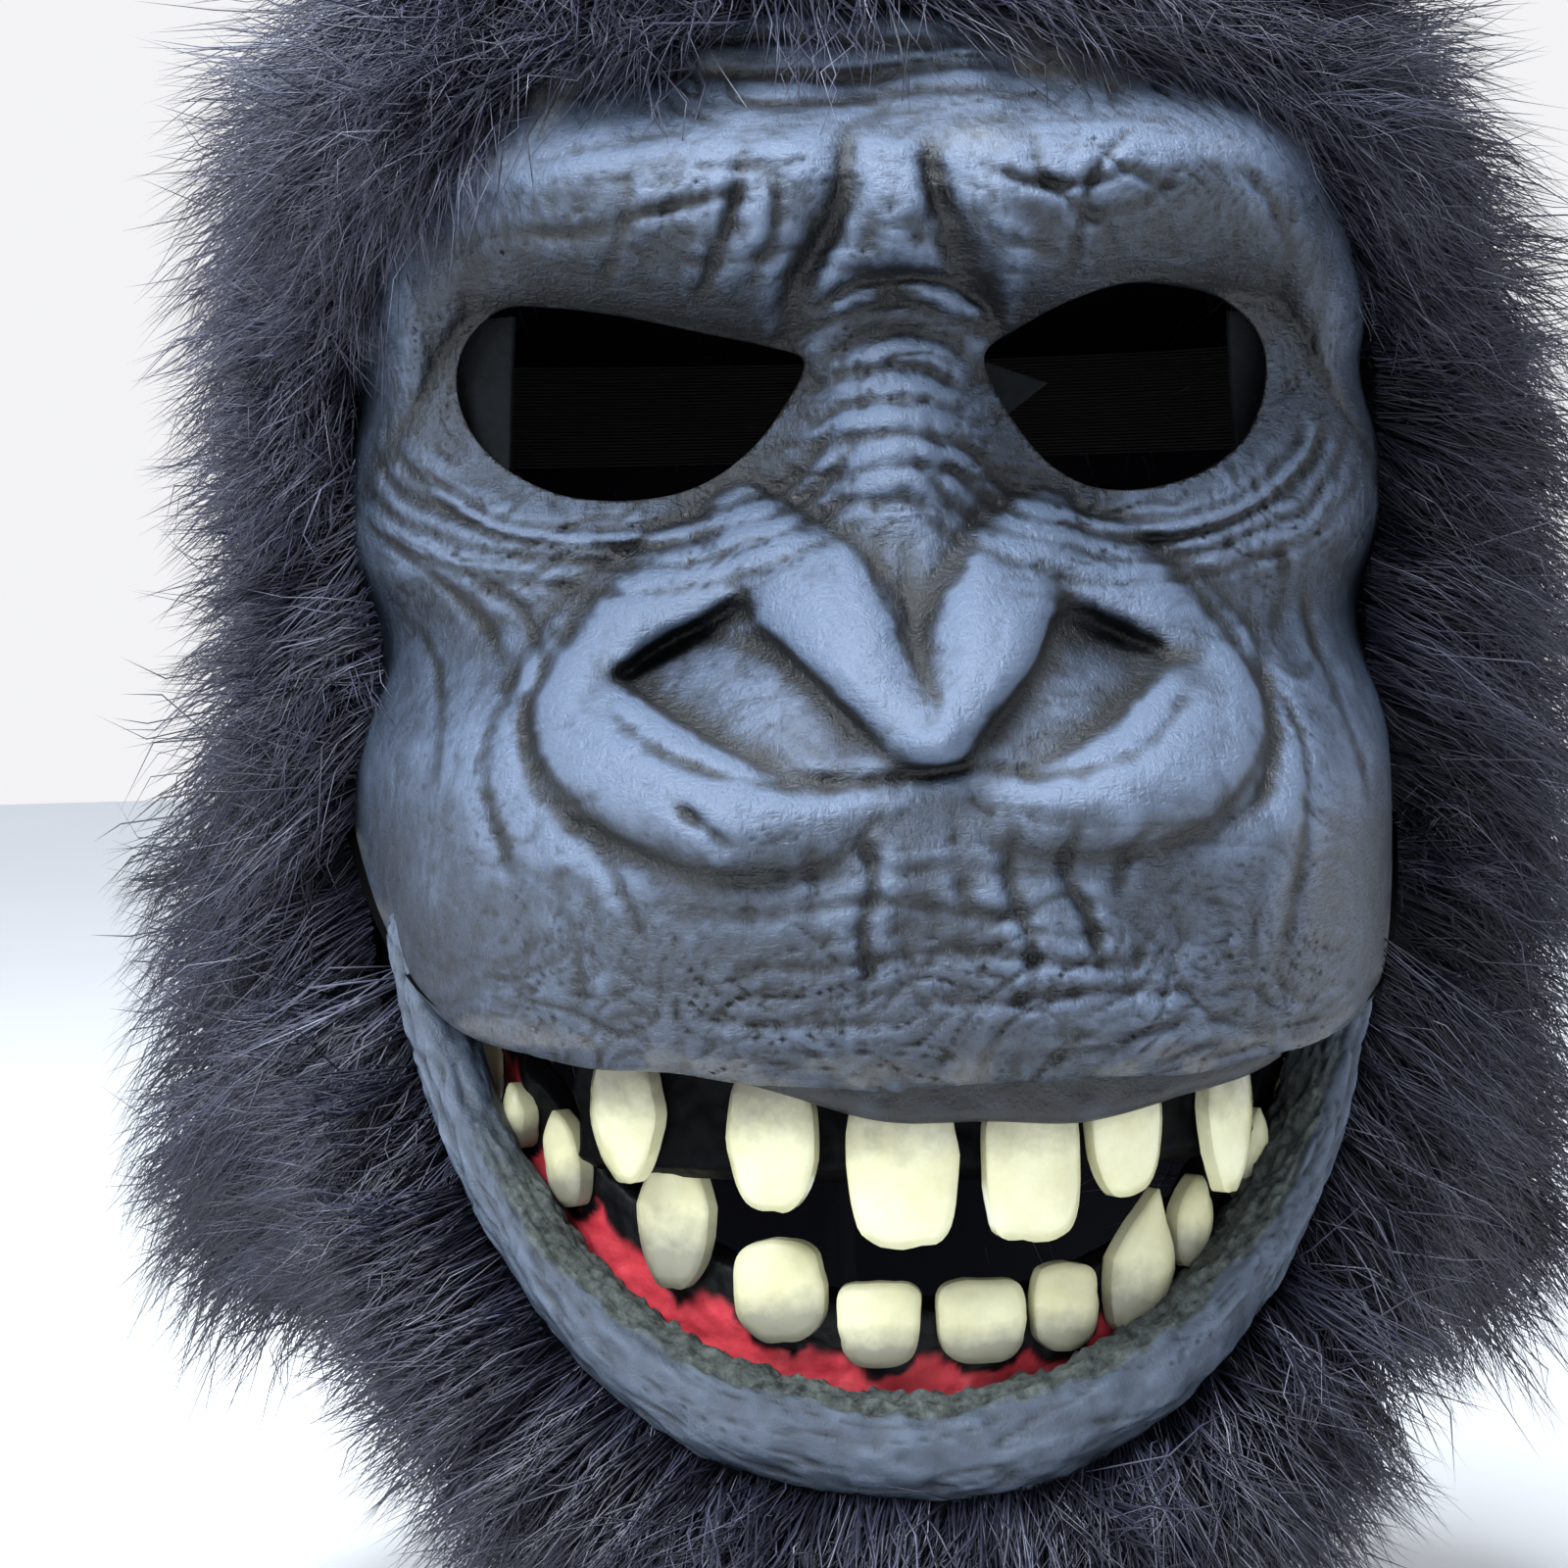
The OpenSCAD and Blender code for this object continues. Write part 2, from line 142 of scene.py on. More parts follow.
def near(x, z, line, reach=30.0):
    """Distance to a smooth line, how far along it (0 to 1), and its side (1 is to the left of its course)."""
    pts = curve(line)
    lo = pts.min(0) - reach
    hi = pts.max(0) + reach
    inside = (x > lo[0]) & (x < hi[0]) & (z > lo[1]) & (z < hi[1])
    xs = x[inside]
    zs = z[inside]
    seg = pts[1:] - pts[:-1]
    size = np.hypot(seg[:, 0], seg[:, 1])
    start = np.concatenate([[0], np.cumsum(size)])
    best = np.full(xs.shape, 1e9)
    along = np.zeros(xs.shape)
    side = np.zeros(xs.shape)
    for (px, pz), (sx, sz), n, s0 in zip(pts[:-1], seg, size, start):
        t = np.clip(((xs - px) * sx + (zs - pz) * sz) / (n * n), 0, 1)
        d = np.hypot(xs - px - t * sx, zs - pz - t * sz)
        hit = d < best
        best = np.where(hit, d, best)
        along = np.where(hit, (s0 + t * n) / start[-1], along)
        side = np.where(hit, np.sign(sx * (zs - pz) - sz * (xs - px)), side)
    out = [np.full(x.shape, 1e9), np.zeros(x.shape), np.zeros(x.shape)]
    for whole, part in zip(out, (best, along, side)):
        whole[inside] = part
    return out


def taper(along, ends=0.18):
    return smooth(0, ends, along) * smooth(0, ends, 1 - along)


def cut(x, z, line, width, depth, ends=0.25):
    """A groove along a line, fading out at both ends, between two soft swellings."""
    d, t, _ = near(x, z, line, 7 * width)
    d = d + 0.5 * cloud(x / 2.2, z / 2.2, 33)
    lips = 0.40 * np.exp(-((d - 2.6 * width) / (1.7 * width)) ** 2)
    uneven = 0.85 + 0.4 * cloud(x / 5 + 4, z / 5 + 9, 34)
    return 0.85 * depth * uneven * (lips - np.exp(-(d / (0.75 * width)) ** 2)) * taper(t, ends)


def roll(x, z, line, radius, height, ends=0.12):
    """A rounded roll of skin along a line. With no ends it stops in round caps."""
    d, t, _ = near(x, z, line)
    r = np.interp(t, np.linspace(0, 1, len(radius)), radius) if np.ndim(radius) else radius
    h = np.interp(t, np.linspace(0, 1, len(height)), height) if np.ndim(height) else height
    body = h * np.clip(1 - (d / r) ** 2, 0, 1) ** 0.85
    return body * taper(t, ends) if ends else body


def fold(x, z, line, width, height, ends=0.25):
    """A fold of skin: a sharp step on one side of a line and a long fall on the other."""
    d, t, side = near(x, z, line)
    rise = np.where(side > 0, np.exp(-d / width), np.exp(-(d / (0.22 * width)) ** 2))
    return height * rise * taper(t, ends)


def swell(x, z, cx, cz, rx, rz, height, turn=0.0):
    c = math.cos(math.radians(turn))
    s = math.sin(math.radians(turn))
    u = (x - cx) * c + (z - cz) * s
    v = -(x - cx) * s + (z - cz) * c
    return height * np.exp(-(u / rx) ** 2 - (v / rz) ** 2)


def cloud(u, v, seed):
    """Smooth noise between -1 and 1."""
    table = np.random.default_rng(seed).random((256, 256)) * 2 - 1
    iu = np.floor(u).astype(int)
    iv = np.floor(v).astype(int)
    fu = u - iu
    fv = v - iv
    fu = fu * fu * (3 - 2 * fu)
    fv = fv * fv * (3 - 2 * fv)
    a = table[iu & 255, iv & 255]
    b = table[(iu + 1) & 255, iv & 255]
    c = table[iu & 255, (iv + 1) & 255]
    d = table[(iu + 1) & 255, (iv + 1) & 255]
    return (a * (1 - fu) + b * fu) * (1 - fv) + (c * (1 - fu) + d * fu) * fv


def wrinkle(x, z, angle, long, short, seed, thin=0.11):
    """A field of fine wrinkles that run at an angle in degrees; 0 between them and 1 in them."""
    a = np.radians(angle)
    bend = cloud(x / 23 + 7, z / 23 + 3, seed + 50) * 0.5
    u = x * np.cos(a + bend) + z * np.sin(a + bend)
    v = -x * np.sin(a + bend) + z * np.cos(a + bend)
    return np.exp(-(cloud(u / long + 91, v / short + 57, seed) / thin) ** 2)


def ease(grid, times):
    """Blurs a grid of heights."""
    for _ in range(times):
        padded = np.pad(grid, 1, mode="edge")
        grid = (padded[:-2, 1:-1] + padded[2:, 1:-1] + padded[1:-1, :-2] + padded[1:-1, 2:] + 4 * grid) / 8
    return grid


# ---------------------------------------------------------------- the sculpture of the face
def face_masses(x, z):
    """The big forms of the face, in millimetres forward of the head."""
    s = np.abs(x)
    lower = np.interp(s, [0, 12, 20, 35, 56, 70, 78, 86, 94], [240, 236, 233, 237, 241, 240, 232, 216, 200])
    under = np.sin(np.clip((z - lower) / (261 - lower), 0.001, 1) * math.pi / 2) ** 0.8
    brow = np.exp(-(s / 83) ** 7) * np.where(z > 261, np.exp(-((z - 261) / 15) ** 2), under)
    h = 28 * brow * (1 - 0.12 * np.exp(-(s / 8) ** 2))
    h += 66 * np.exp(-(s / 88) ** 6) * np.exp(-np.abs((z - 130) / 50) ** 4)
    h -= 8 * smooth(126, 111, z) ** 1.6
    h += swell(s, z, 14, 183, 24, 18, 21)
    h += swell(s, z, 0, 214, 15, 24, 20)
    h += swell(s, z, 66, 199, 22, 11, 9)
    h += swell(s, z, 84, 226, 9, 26, 5)
    h -= swell(s, z, 45, 226, 26, 13, 7)
    h -= swell(s, z, 30, 207, 12, 7, 3)
    return h


def nose(x, z):
    lobe_l = roll(x, z, [(-24, 202), (-18, 195), (-11, 187), (-5, 179), (-1, 173)],
                  [8.5, 10.5, 10.5, 9.5, 8], [9.5, 10.5, 10.5, 10, 8.5], 0)
    lobe_r = roll(x, z, [(24, 200), (18, 194), (12, 186), (6, 179), (2, 173)],
                  [8.5, 10.5, 10.5, 9.5, 8], [9, 10, 10, 9.5, 8.5], 0)
    wing_l = roll(x, z, [(-22, 201), (-33, 196.5), (-44, 191), (-53, 185), (-59, 179)],
                  [8, 8, 7.5, 7.5, 7], [7, 8, 8, 7.5, 5.5], 0)
    wing_r = roll(x, z, [(22, 199), (33, 195.5), (43, 190.5), (51, 185), (56, 180)],
                  [8, 8, 7.5, 7.5, 7], [6.5, 7.5, 7.5, 7, 5], 0)
    low_l = roll(x, z, [(-58, 180), (-52, 171), (-42, 163), (-30, 158), (-18, 157), (-8, 159)],
                 [7, 9.5, 10.5, 9.5, 7, 5], [6, 8.5, 9, 8, 4.5, 0], 0)
    low_r = roll(x, z, [(56, 181), (49, 171), (37, 163), (25, 159), (15, 158), (7, 160)],
                 [7, 9.5, 10.5, 9.5, 7, 5], [6, 8, 8.5, 7.5, 4.5, 0], 0)
    h = np.zeros_like(x)
    for part in (lobe_l, lobe_r, wing_l, wing_r, low_l, low_r):
        h = (h ** 3 + part ** 3) ** (1 / 3)
    pit_l = smooth(0, 6, 17 - np.hypot((x + 29) * 0.72 + (z - 174) * 0.35, (z - 174) * 1.05))
    pit_r = smooth(0, 6, 15 - np.hypot((x - 24) * 0.74 - (z - 175) * 0.35, (z - 175) * 1.10))
    open_pit = np.clip(1 - h / 4, 0, 1)
    h -= (2.5 + 6.0 * smooth(166, 192, z)) * (pit_l + pit_r) * open_pit
    h += cut(x, z, [(-24, 188), (-30, 189), (-38, 185), (-48, 179.5)], 2.2, 3.8, 0.2)
    h += cut(x, z, [(21, 185), (28, 187), (37, 183.5), (46, 179.5)], 2.1, 3.4, 0.2)
    h += cut(x, z, [(-52, 176), (-40, 167.5), (-24, 163), (-8, 163), (3, 165), (16, 164)], 1.2, 2.2, 0.1)
    h += cut(x, z, [(48, 177), (36, 168), (22, 163.5), (10, 164)], 1.2, 2.0, 0.15)
    h += cut(x, z, [(-3, 203), (-5, 194), (-2, 187), (0, 182)], 1.5, 2.6, 0.3)
    h += cut(x, z, [(13, 201), (7, 194), (3, 188), (0, 183)], 1.5, 2.2, 0.3)
    h += cut(x, z, [(-1, 184), (2, 176), (1, 170)], 0.9, 1.2, 0.3)
    h += cut(x, z, [(-14, 184), (-8, 178), (-3, 172)], 0.9, 0.8, 0.3)
    h += cut(x, z, [(16, 190), (12, 182), (8, 176)], 0.9, 1.0, 0.3)
    h += roll(x, z, [(0, 172), (2, 164)], 5, 3.0, 0.3)
    return h


def long_creases(x, z):
    """The creases that can be told apart one by one."""
    h = np.zeros_like(x)
    for line, width, depth in (
        ([(-8, 270), (-8, 257), (-13, 247), (-20, 235)], 3.4, 6.5),
        ([(6, 269), (7, 257), (11, 247), (20, 234)], 3.4, 6.5),
        ([(-23, 268), (-25, 258), (-28, 249), (-33, 238)], 1.3, 2.2),
        ([(-20, 262), (-19, 252), (-24, 241)], 1.1, 1.6),
        ([(-42, 262), (-44, 252), (-48, 242)], 1.0, 1.2),
        ([(-68, 254), (-52, 252), (-36, 255), (-22, 257)], 1.0, 1.6),
        ([(-35, 262), (-24, 261), (-10, 262)], 0.9, 1.3),
        ([(-38, 247), (-26, 246), (-12, 249)], 0.9, 1.0),
        ([(-60, 263), (-46, 266), (-30, 268)], 0.9, 1.0),
        ([(23, 268), (25, 258), (38, 249)], 1.1, 1.9),
        ([(42, 268), (33, 259), (30, 247), (29, 240)], 1.1, 1.8),
        ([(12, 261), (26, 257), (42, 260)], 1.0, 1.6),
        ([(30, 266), (40, 259), (50, 256)], 0.9, 1.3),
        ([(50, 262), (41, 254), (26, 252)], 0.9, 1.2),
        ([(12, 252), (20, 248), (30, 246)], 0.9, 1.1),
        ([(58, 262), (66, 254), (72, 244)], 1.2, 1.2),
        ([(-5, 262), (2, 261), (6, 262)], 0.9, 0.9),
        ([(-8, 253), (0, 251), (8, 253)], 0.9, 0.9),
        ([(-13, 246), (0, 243), (12, 245)], 1.1, 1.3),
        ([(-60, 275), (-35, 279), (-8, 277), (16, 279), (42, 277)], 1.5, 2.0),
        ([(-48, 283), (-20, 285), (8, 283), (34, 285)], 1.4, 1.7),
        ([(-34, 273), (-12, 272), (4, 274), (28, 274)], 1.2, 1.6),
        ([(-30, 290), (0, 289), (26, 290)], 1.3, 1.2),
        ([(-33, 202), (-47, 196), (-59, 184), (-63, 172), (-58, 160), (-46, 153), (-34, 150)], 2.2, 3.0),
        ([(31, 201), (45, 196), (57, 184), (61, 171), (54, 158), (40, 151)], 2.2, 3.0),
        ([(-64, 184), (-69, 170), (-67, 156), (-62, 144)], 1.7, 2.0),
        ([(-72, 196), (-64, 190), (-61, 180)], 1.4, 1.6),
        ([(-88, 204), (-78, 196), (-70, 186), (-67, 176)], 1.5, 1.6),
        ([(-86, 190), (-80, 181), (-77, 170), (-78, 158)], 1.3, 1.3),
        ([(-52, 156), (-47, 146), (-44, 136)], 1.1, 1.2),
        ([(-58, 148), (-55, 138), (-54, 126)], 1.0, 0.9),
        ([(60, 182), (65, 168), (62, 152), (58, 136), (57, 124)], 1.5, 1.8),
        ([(72, 196), (76, 182), (77, 166), (80, 150)], 1.6, 1.8),
        ([(66, 200), (70, 190), (66, 180)], 1.2, 1.4),
        ([(-40, 161), (-34, 156), (-29, 153)], 1.2, 2.2),
        ([(-11, 157), (-9, 148), (-11, 140), (-9, 130)], 1.2, 1.8),
        ([(-19, 155), (-18, 147), (-20, 139)], 1.0, 1.0),
        ([(4, 159), (4, 150), (6, 141)], 1.1, 1.2),
        ([(14, 158), (12, 148), (15, 138), (15, 128)], 1.2, 1.6),
        ([(24, 158), (21, 149), (25, 139), (27, 130)], 1.2, 2.0),
        ([(36, 157), (30, 150), (29, 143)], 1.1, 1.6),
        ([(-46, 144), (-28, 143), (-8, 145), (10, 142), (28, 144)], 0.9, 1.0),
        ([(-40, 136), (-18, 135), (4, 137), (26, 134), (44, 137)], 0.9, 0.9),
        ([(-10, 131), (8, 129), (26, 130), (46, 128)], 0.9, 1.1),
        ([(-44, 128), (-20, 126), (0, 127)], 0.8, 0.8),
        ([(10, 124), (30, 123), (52, 125)], 0.8, 0.8),
        ([(-15, 224), (-6, 228), (4, 228), (15, 223)], 1.3, 2.4),
        ([(-16, 219), (-6, 223), (4, 223), (17, 218)], 1.1, 1.9),
        ([(-18, 214), (-6, 217), (5, 217), (19, 212)], 1.0, 1.6),
        ([(-16, 210), (-4, 212), (6, 212), (17, 208)], 0.9, 1.3),
        ([(-12, 206), (-2, 207), (8, 206)], 0.9, 1.0),
        ([(-18, 233), (-8, 241), (4, 243), (14, 240), (20, 233)], 1.5, 2.6),
    ):
        h += cut(x, z, line, width, depth)
    h += roll(x, z, [(-17, 229), (-10, 236), (3, 239), (13, 235), (18, 228)], 4.4, 3.6)
    h += roll(x, z, [(-13, 226), (-3, 231), (6, 231), (14, 226)], 2.6, 1.8)
    h += fold(x, z, [(-86, 222), (-76, 212), (-64, 204), (-48, 201), (-32, 204), (-22, 212)], 5.0, 2.6)
    h += fold(x, z, [(22, 210), (32, 203), (46, 201), (60, 205), (72, 213), (80, 224)], 4.5, 2.2)
    return h


def eye_rings(x, z):
    """Bag wrinkles that follow the lower rims of the eyes."""
    h = np.zeros_like(x)
    for cx, rx, rows in ((-46, 31, (1.22, 1.38, 1.56, 1.78)), (42, 27, (1.22, 1.40, 1.60, 1.84))):
        ring = np.hypot((x - cx) / rx, (z - 225) / 18) + 0.05 * cloud(x / 9, z / 9, 31)
        under = smooth(0, 8, 221 - z) * smooth(0, 10, 46 - np.abs(x - cx))
        for i, r in enumerate(rows):
            h -= (1.7 - 0.25 * i) * np.exp(-((ring - r) / 0.045) ** 2) * under
    return h


def fine_wrinkles(x, z):
    s = np.abs(x)
    forehead = smooth(262, 276, z)
    centre = np.exp(-(x / 24) ** 4) * smooth(200, 210, z) * smooth(0, 8, 244 - z)
    bags = smooth(0, 10, 216 - z) * smooth(186, 198, z) * smooth(10, 24, s)
    lip = smooth(0, 16, 146 - z)
    cheek = smooth(56, 70, s) * smooth(0, 12, 215 - z)
    brow = smooth(238, 244, z) * smooth(0, 10, 272 - z)
    outer = smooth(66, 76, s) * smooth(206, 214, z) * smooth(0, 8, 246 - z)
    h = -1.2 * forehead * wrinkle(x, z, 3, 26, 3.6, 1)
    h -= 0.9 * centre * wrinkle(x, z, 0, 20, 2.6, 2)
    h -= 0.9 * bags * wrinkle(x, z, np.where(x < 0, -18, 18), 20, 3.2, 3)
    h -= 0.80 * lip * wrinkle(x, z, 2, 18, 2.8, 4)
    h -= 0.65 * lip * wrinkle(x, z, 88, 15, 4.2, 5)
    h -= 0.9 * cheek * wrinkle(x, z, np.where(x < 0, -55, 60), 22, 4.5, 6)
    h -= 0.45 * brow * wrinkle(x, z, 80, 12, 6.5, 7)
    h -= 0.35 * brow * wrinkle(x, z, 10, 14, 6.0, 8)
    h -= 1.0 * outer * wrinkle(x, z, 75, 9, 3.5, 9)
    h -= 0.40 * wrinkle(x, z, 35, 9, 5.0, 10, 0.12)
    h -= 0.35 * wrinkle(x, z, -40, 10, 5.5, 14, 0.12)
    h += 0.16 * cloud(x / 4.0, z / 4.0, 11) + 0.08 * cloud(x / 1.7, z / 1.7, 12)
    h *= 1 - 0.75 * smooth(60, 78, s) * smooth(200, 185, z) - 0.4 * smooth(66, 82, s) * smooth(185, 200, z)
    pits = cloud(x / 1.3, z / 1.3, 13)
    h -= 0.4 * smooth(0.80, 0.95, pits)
    return h


# ---------------------------------------------------------------- objects
def clear_selection():
    if bpy.context.object and bpy.context.object.mode != "OBJECT":
        bpy.ops.object.mode_set(mode="OBJECT")
    bpy.ops.object.select_all(action="DESELECT")


def pick(obj):
    clear_selection()
    obj.select_set(True)
    bpy.context.view_layer.objects.active = obj


def apply_modifier(obj, kind, **values):
    pick(obj)
    mod = obj.modifiers.new(kind.title(), kind)
    for key, value in values.items():
        setattr(mod, key, value)
    bpy.ops.object.modifier_apply(modifier=mod.name)


def grid_piece(name, across, up):
    """A grid primitive, with its points' places across and up as two arrays between 0 and 1."""
    clear_selection()
    bpy.ops.mesh.primitive_grid_add(x_subdivisions=across, y_subdivisions=up, size=1)
    obj = bpy.context.object
    obj.name = name
    obj.data.name = name
    co = coords(obj)
    return obj, co[:, 0] + 0.5, co[:, 1] + 0.5


def coords(obj):
    co = np.empty(len(obj.data.vertices) * 3)
    obj.data.vertices.foreach_get("co", co)
    return co.reshape(-1, 3)


def place(obj, points_mm):
    obj.data.vertices.foreach_set("co", (np.asarray(points_mm) * MM).ravel())
    obj.data.update()


def write_value(obj, name, values):
    att = obj.data.attributes.new(name, "FLOAT", "POINT")
    att.data.foreach_set("value", np.asarray(values, float))


def face_front(obj):
    """Turns a sheet so that its faces look forward."""
    normals = np.empty(len(obj.data.polygons) * 3)
    obj.data.polygons.foreach_get("normal", normals)
    if normals.reshape(-1, 3).sum(0) @ np.array(TOWARDS_FRONT) < 0:
        pick(obj)
        bpy.ops.object.mode_set(mode="EDIT")
        bpy.ops.mesh.select_all(action="SELECT")
        bpy.ops.mesh.flip_normals()
        bpy.ops.object.mode_set(mode="OBJECT")


def finish_piece(obj, material, body, nodes=()):
    """Gives a piece its material, its smooth shading, its body and the CAD nodes it stands for."""
    obj.data.materials.clear()
    obj.data.materials.append(material)
    obj.data.polygons.foreach_set("use_smooth", [True] * len(obj.data.polygons))
    obj.data.update()
    if nodes:
        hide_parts(*nodes)
    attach(obj, body)
    return obj


def thicken(obj, thickness, **values):
    """Gives a sheet its wall, marks the wall's inner points, and returns how many points it had before."""
    outer = len(obj.data.vertices)
    apply_modifier(obj, "SOLIDIFY", thickness=thickness, offset=-1, **values)
    inside = np.zeros(len(obj.data.vertices))
    inside[outer:] = 1
    obj.data.attributes["inside"].data.foreach_set("value", inside)
    return outer


# ---------------------------------------------------------------- materials
def fill_ramp(ramp, stops):
    """Sets a colour ramp's stops, each a place and a colour or a grey."""
    while len(ramp.elements) < len(stops):
        ramp.elements.new(0.5)
    for element, (at, colour) in zip(ramp.elements, stops):
        element.position = at
        if np.ndim(colour) == 0:
            colour = (colour, colour, colour)
        element.color = (*colour, 1)


class Nodes:
    """Short names for a material's nodes."""

    def __init__(self, name):
        self.mat = bpy.data.materials.new(name)
        self.mat.use_nodes = True
        self.tree = self.mat.node_tree
        self.shader = self.tree.nodes["Principled BSDF"]
        self.place = self.add("ShaderNodeTexCoord").outputs["Object"]

    def add(self, kind, **values):
        node = self.tree.nodes.new(kind)
        for key, value in values.items():
            setattr(node, key, value)
        return node

    def link(self, a, b):
        self.tree.links.new(a, b)

    def noise(self, scale, detail=4.0, rough=0.6, stretch=None):
        node = self.add("ShaderNodeTexNoise")
        node.inputs["Scale"].default_value = scale
        node.inputs["Detail"].default_value = detail
        node.inputs["Roughness"].default_value = rough
        source = self.place
        if stretch:
            mapping = self.add("ShaderNodeMapping")
            mapping.inputs["Scale"].default_value = stretch
            self.link(self.place, mapping.inputs["Vector"])
            source = mapping.outputs["Vector"]
        self.link(source, node.inputs["Vector"])
        return node.outputs["Fac"]

    def value(self, name):
        return self.add("ShaderNodeAttribute", attribute_name=name).outputs["Fac"]

    def ramp(self, source, stops):
        node = self.add("ShaderNodeValToRGB")
        fill_ramp(node.color_ramp, stops)
        self.link(source, node.inputs["Fac"])
        return node.outputs["Color"]

    def mix(self, amount, a, b, how="MIX"):
        node = self.add("ShaderNodeMix", data_type="RGBA", blend_type=how)
        for socket, what in ((node.inputs[0], amount), (node.inputs[6], a), (node.inputs[7], b)):
            if hasattr(what, "links"):
                self.link(what, socket)
            elif np.ndim(what):
                socket.default_value = (*what, 1)
            else:
                socket.default_value = what
        return node.outputs[2]

    def sum(self, a, b, how="ADD"):
        node = self.add("ShaderNodeMath", operation=how)
        for socket, what in ((node.inputs[0], a), (node.inputs[1], b)):
            if hasattr(what, "links"):
                self.link(what, socket)
            else:
                socket.default_value = what
        return node.outputs[0]

    def bump(self, height, strength, distance=0.001):
        node = self.add("ShaderNodeBump")
        node.inputs["Strength"].default_value = strength
        node.inputs["Distance"].default_value = distance
        self.link(height, node.inputs["Height"])
        self.link(node.outputs["Normal"], self.shader.inputs["Normal"])

    def colour(self, source):
        self.link(source, self.shader.inputs["Base Color"])

    def rough(self, source):
        self.link(source, self.shader.inputs["Roughness"])


def latex_material(settings):
    n = Nodes("shaded_brushed_latex")
    relief = n.value("relief")
    speckle = n.sum(n.sum(n.noise(190, 6, 0.7), 0.5, "SUBTRACT"), 0.40, "MULTIPLY")
    cloudy = n.sum(n.sum(n.noise(32, 4, 0.6), 0.5, "SUBTRACT"), 0.25, "MULTIPLY")
    paint_shade_and_mottle = n.sum(relief, n.sum(speckle, cloudy))
    # the ramp's dark end is painted shade in the creases and undersides and its light end a bluish painted
    # highlight on the high places, over the dry-brushed paint and random mottling
    skin = n.ramp(paint_shade_and_mottle, [(0.26, (0.002, 0.003, 0.004)), (0.44, (0.011, 0.015, 0.023)),
                         (0.60, tuple(settings.latex)), (0.84, tuple(settings.latex_highlight))])
    dust = n.sum(n.value("dust"), n.noise(260, 4), "MULTIPLY")
    skin = n.mix(dust, skin, (0.26, 0.25, 0.23))
    # the wall's inner side is painted near black, as painted shade inside the mask
    skin = n.mix(n.value("inside"), skin, (0.002, 0.002, 0.002))
    n.colour(skin)
    n.rough(n.ramp(n.noise(120, 4), [(0.3, 0.30), (0.7, 0.46)]))
    n.link(n.ramp(n.value("inside"), [(0.0, 0.6), (1.0, 0.02)]), n.shader.inputs["Specular IOR Level"])
    lines = n.sum(n.noise(420, 3, 0.6, (1.0, 1.0, 3.2)), n.noise(380, 3, 0.6, (2.6, 1.0, 1.0)), "MINIMUM")
    fine = n.sum(n.sum(n.noise(1300, 5, 0.7), 0.6, "MULTIPLY"), n.sum(lines, 1.4, "MULTIPLY"))
    n.bump(fine, 0.8, 0.0007)
    return n.mat


def lip_material(settings):
    n = Nodes("lower_lip_latex")
    paint_shade_and_mottle = n.sum(n.value("relief"), n.sum(n.sum(n.noise(70, 5), 0.5, "SUBTRACT"), 0.35, "MULTIPLY"))
    # the ramp's dark end is painted shade and its light end a bluish painted highlight
    skin = n.ramp(paint_shade_and_mottle, [(0.16, (0.004, 0.005, 0.007)), (0.40, (0.022, 0.030, 0.042)),
                         (0.60, tuple(settings.lip)), (0.85, (0.110, 0.142, 0.198))])
    crust_tone = n.ramp(n.noise(420, 6, 0.7), [(0.35, (0.010, 0.013, 0.012)), (0.68, (0.12, 0.14, 0.125))])
    skin = n.mix(n.value("crust"), skin, crust_tone)
    # the wall's inner side is painted near black, as painted shade inside the mask
    skin = n.mix(n.value("inside"), skin, (0.003, 0.003, 0.003))
    n.colour(skin)
    n.rough(n.ramp(n.value("crust"), [(0.0, 0.40), (1.0, 0.85)]))
    n.link(n.ramp(n.value("inside"), [(0.0, 0.55), (1.0, 0.02)]), n.shader.inputs["Specular IOR Level"])
    fine = n.sum(n.noise(900, 6, 0.7), n.sum(n.noise(300, 4, 0.6), 0.8, "MULTIPLY"))
    n.bump(fine, 0.6, 0.0007)
    return n.mat


def tooth_material(settings, name, gloss, coat):
    n = Nodes(name)
    base = n.ramp(n.noise(110, 4), [(0.35, (0.62, 0.59, 0.34)), (0.65, tuple(settings.tooth))])
    root = n.ramp(n.sum(n.value("root"), n.sum(n.noise(300, 3), 0.3, "MULTIPLY")),
                  [(0.62, 0.0), (0.92, 0.85)])
    n.colour(n.mix(root, base, (0.20, 0.19, 0.15)))
    n.shader.inputs["Roughness"].default_value = gloss
    n.shader.inputs["Coat Weight"].default_value = coat
    n.bump(n.sum(n.noise(260, 3), n.noise(60, 2)), 0.25, 0.0006)
    return n.mat


def black_gum_material():
    n = Nodes("black_gum_paint")
    n.colour(n.ramp(n.noise(120, 4), [(0.3, (0.001, 0.001, 0.001)), (0.75, (0.003, 0.003, 0.004))]))
    n.shader.inputs["Roughness"].default_value = 0.45
    n.shader.inputs["Specular IOR Level"].default_value = 0.04
    n.bump(n.noise(350, 4), 0.3, 0.0006)
    return n.mat


def red_gum_material(settings):
    n = Nodes("red_gum_paint")
    red = n.ramp(n.noise(150, 5), [(0.3, (0.55, 0.035, 0.05)), (0.6, tuple(settings.gum)),
                                   (0.8, (0.80, 0.16, 0.17))])
    n.colour(n.mix(n.value("black"), red, (0.004, 0.004, 0.005)))
    n.shader.inputs["Specular IOR Level"].default_value = 0.15
    n.rough(n.ramp(n.noise(90, 3), [(0.3, 0.35), (0.7, 0.55)]))
    n.bump(n.sum(n.noise(500, 5), n.noise(160, 3)), 0.45, 0.0007)
    return n.mat


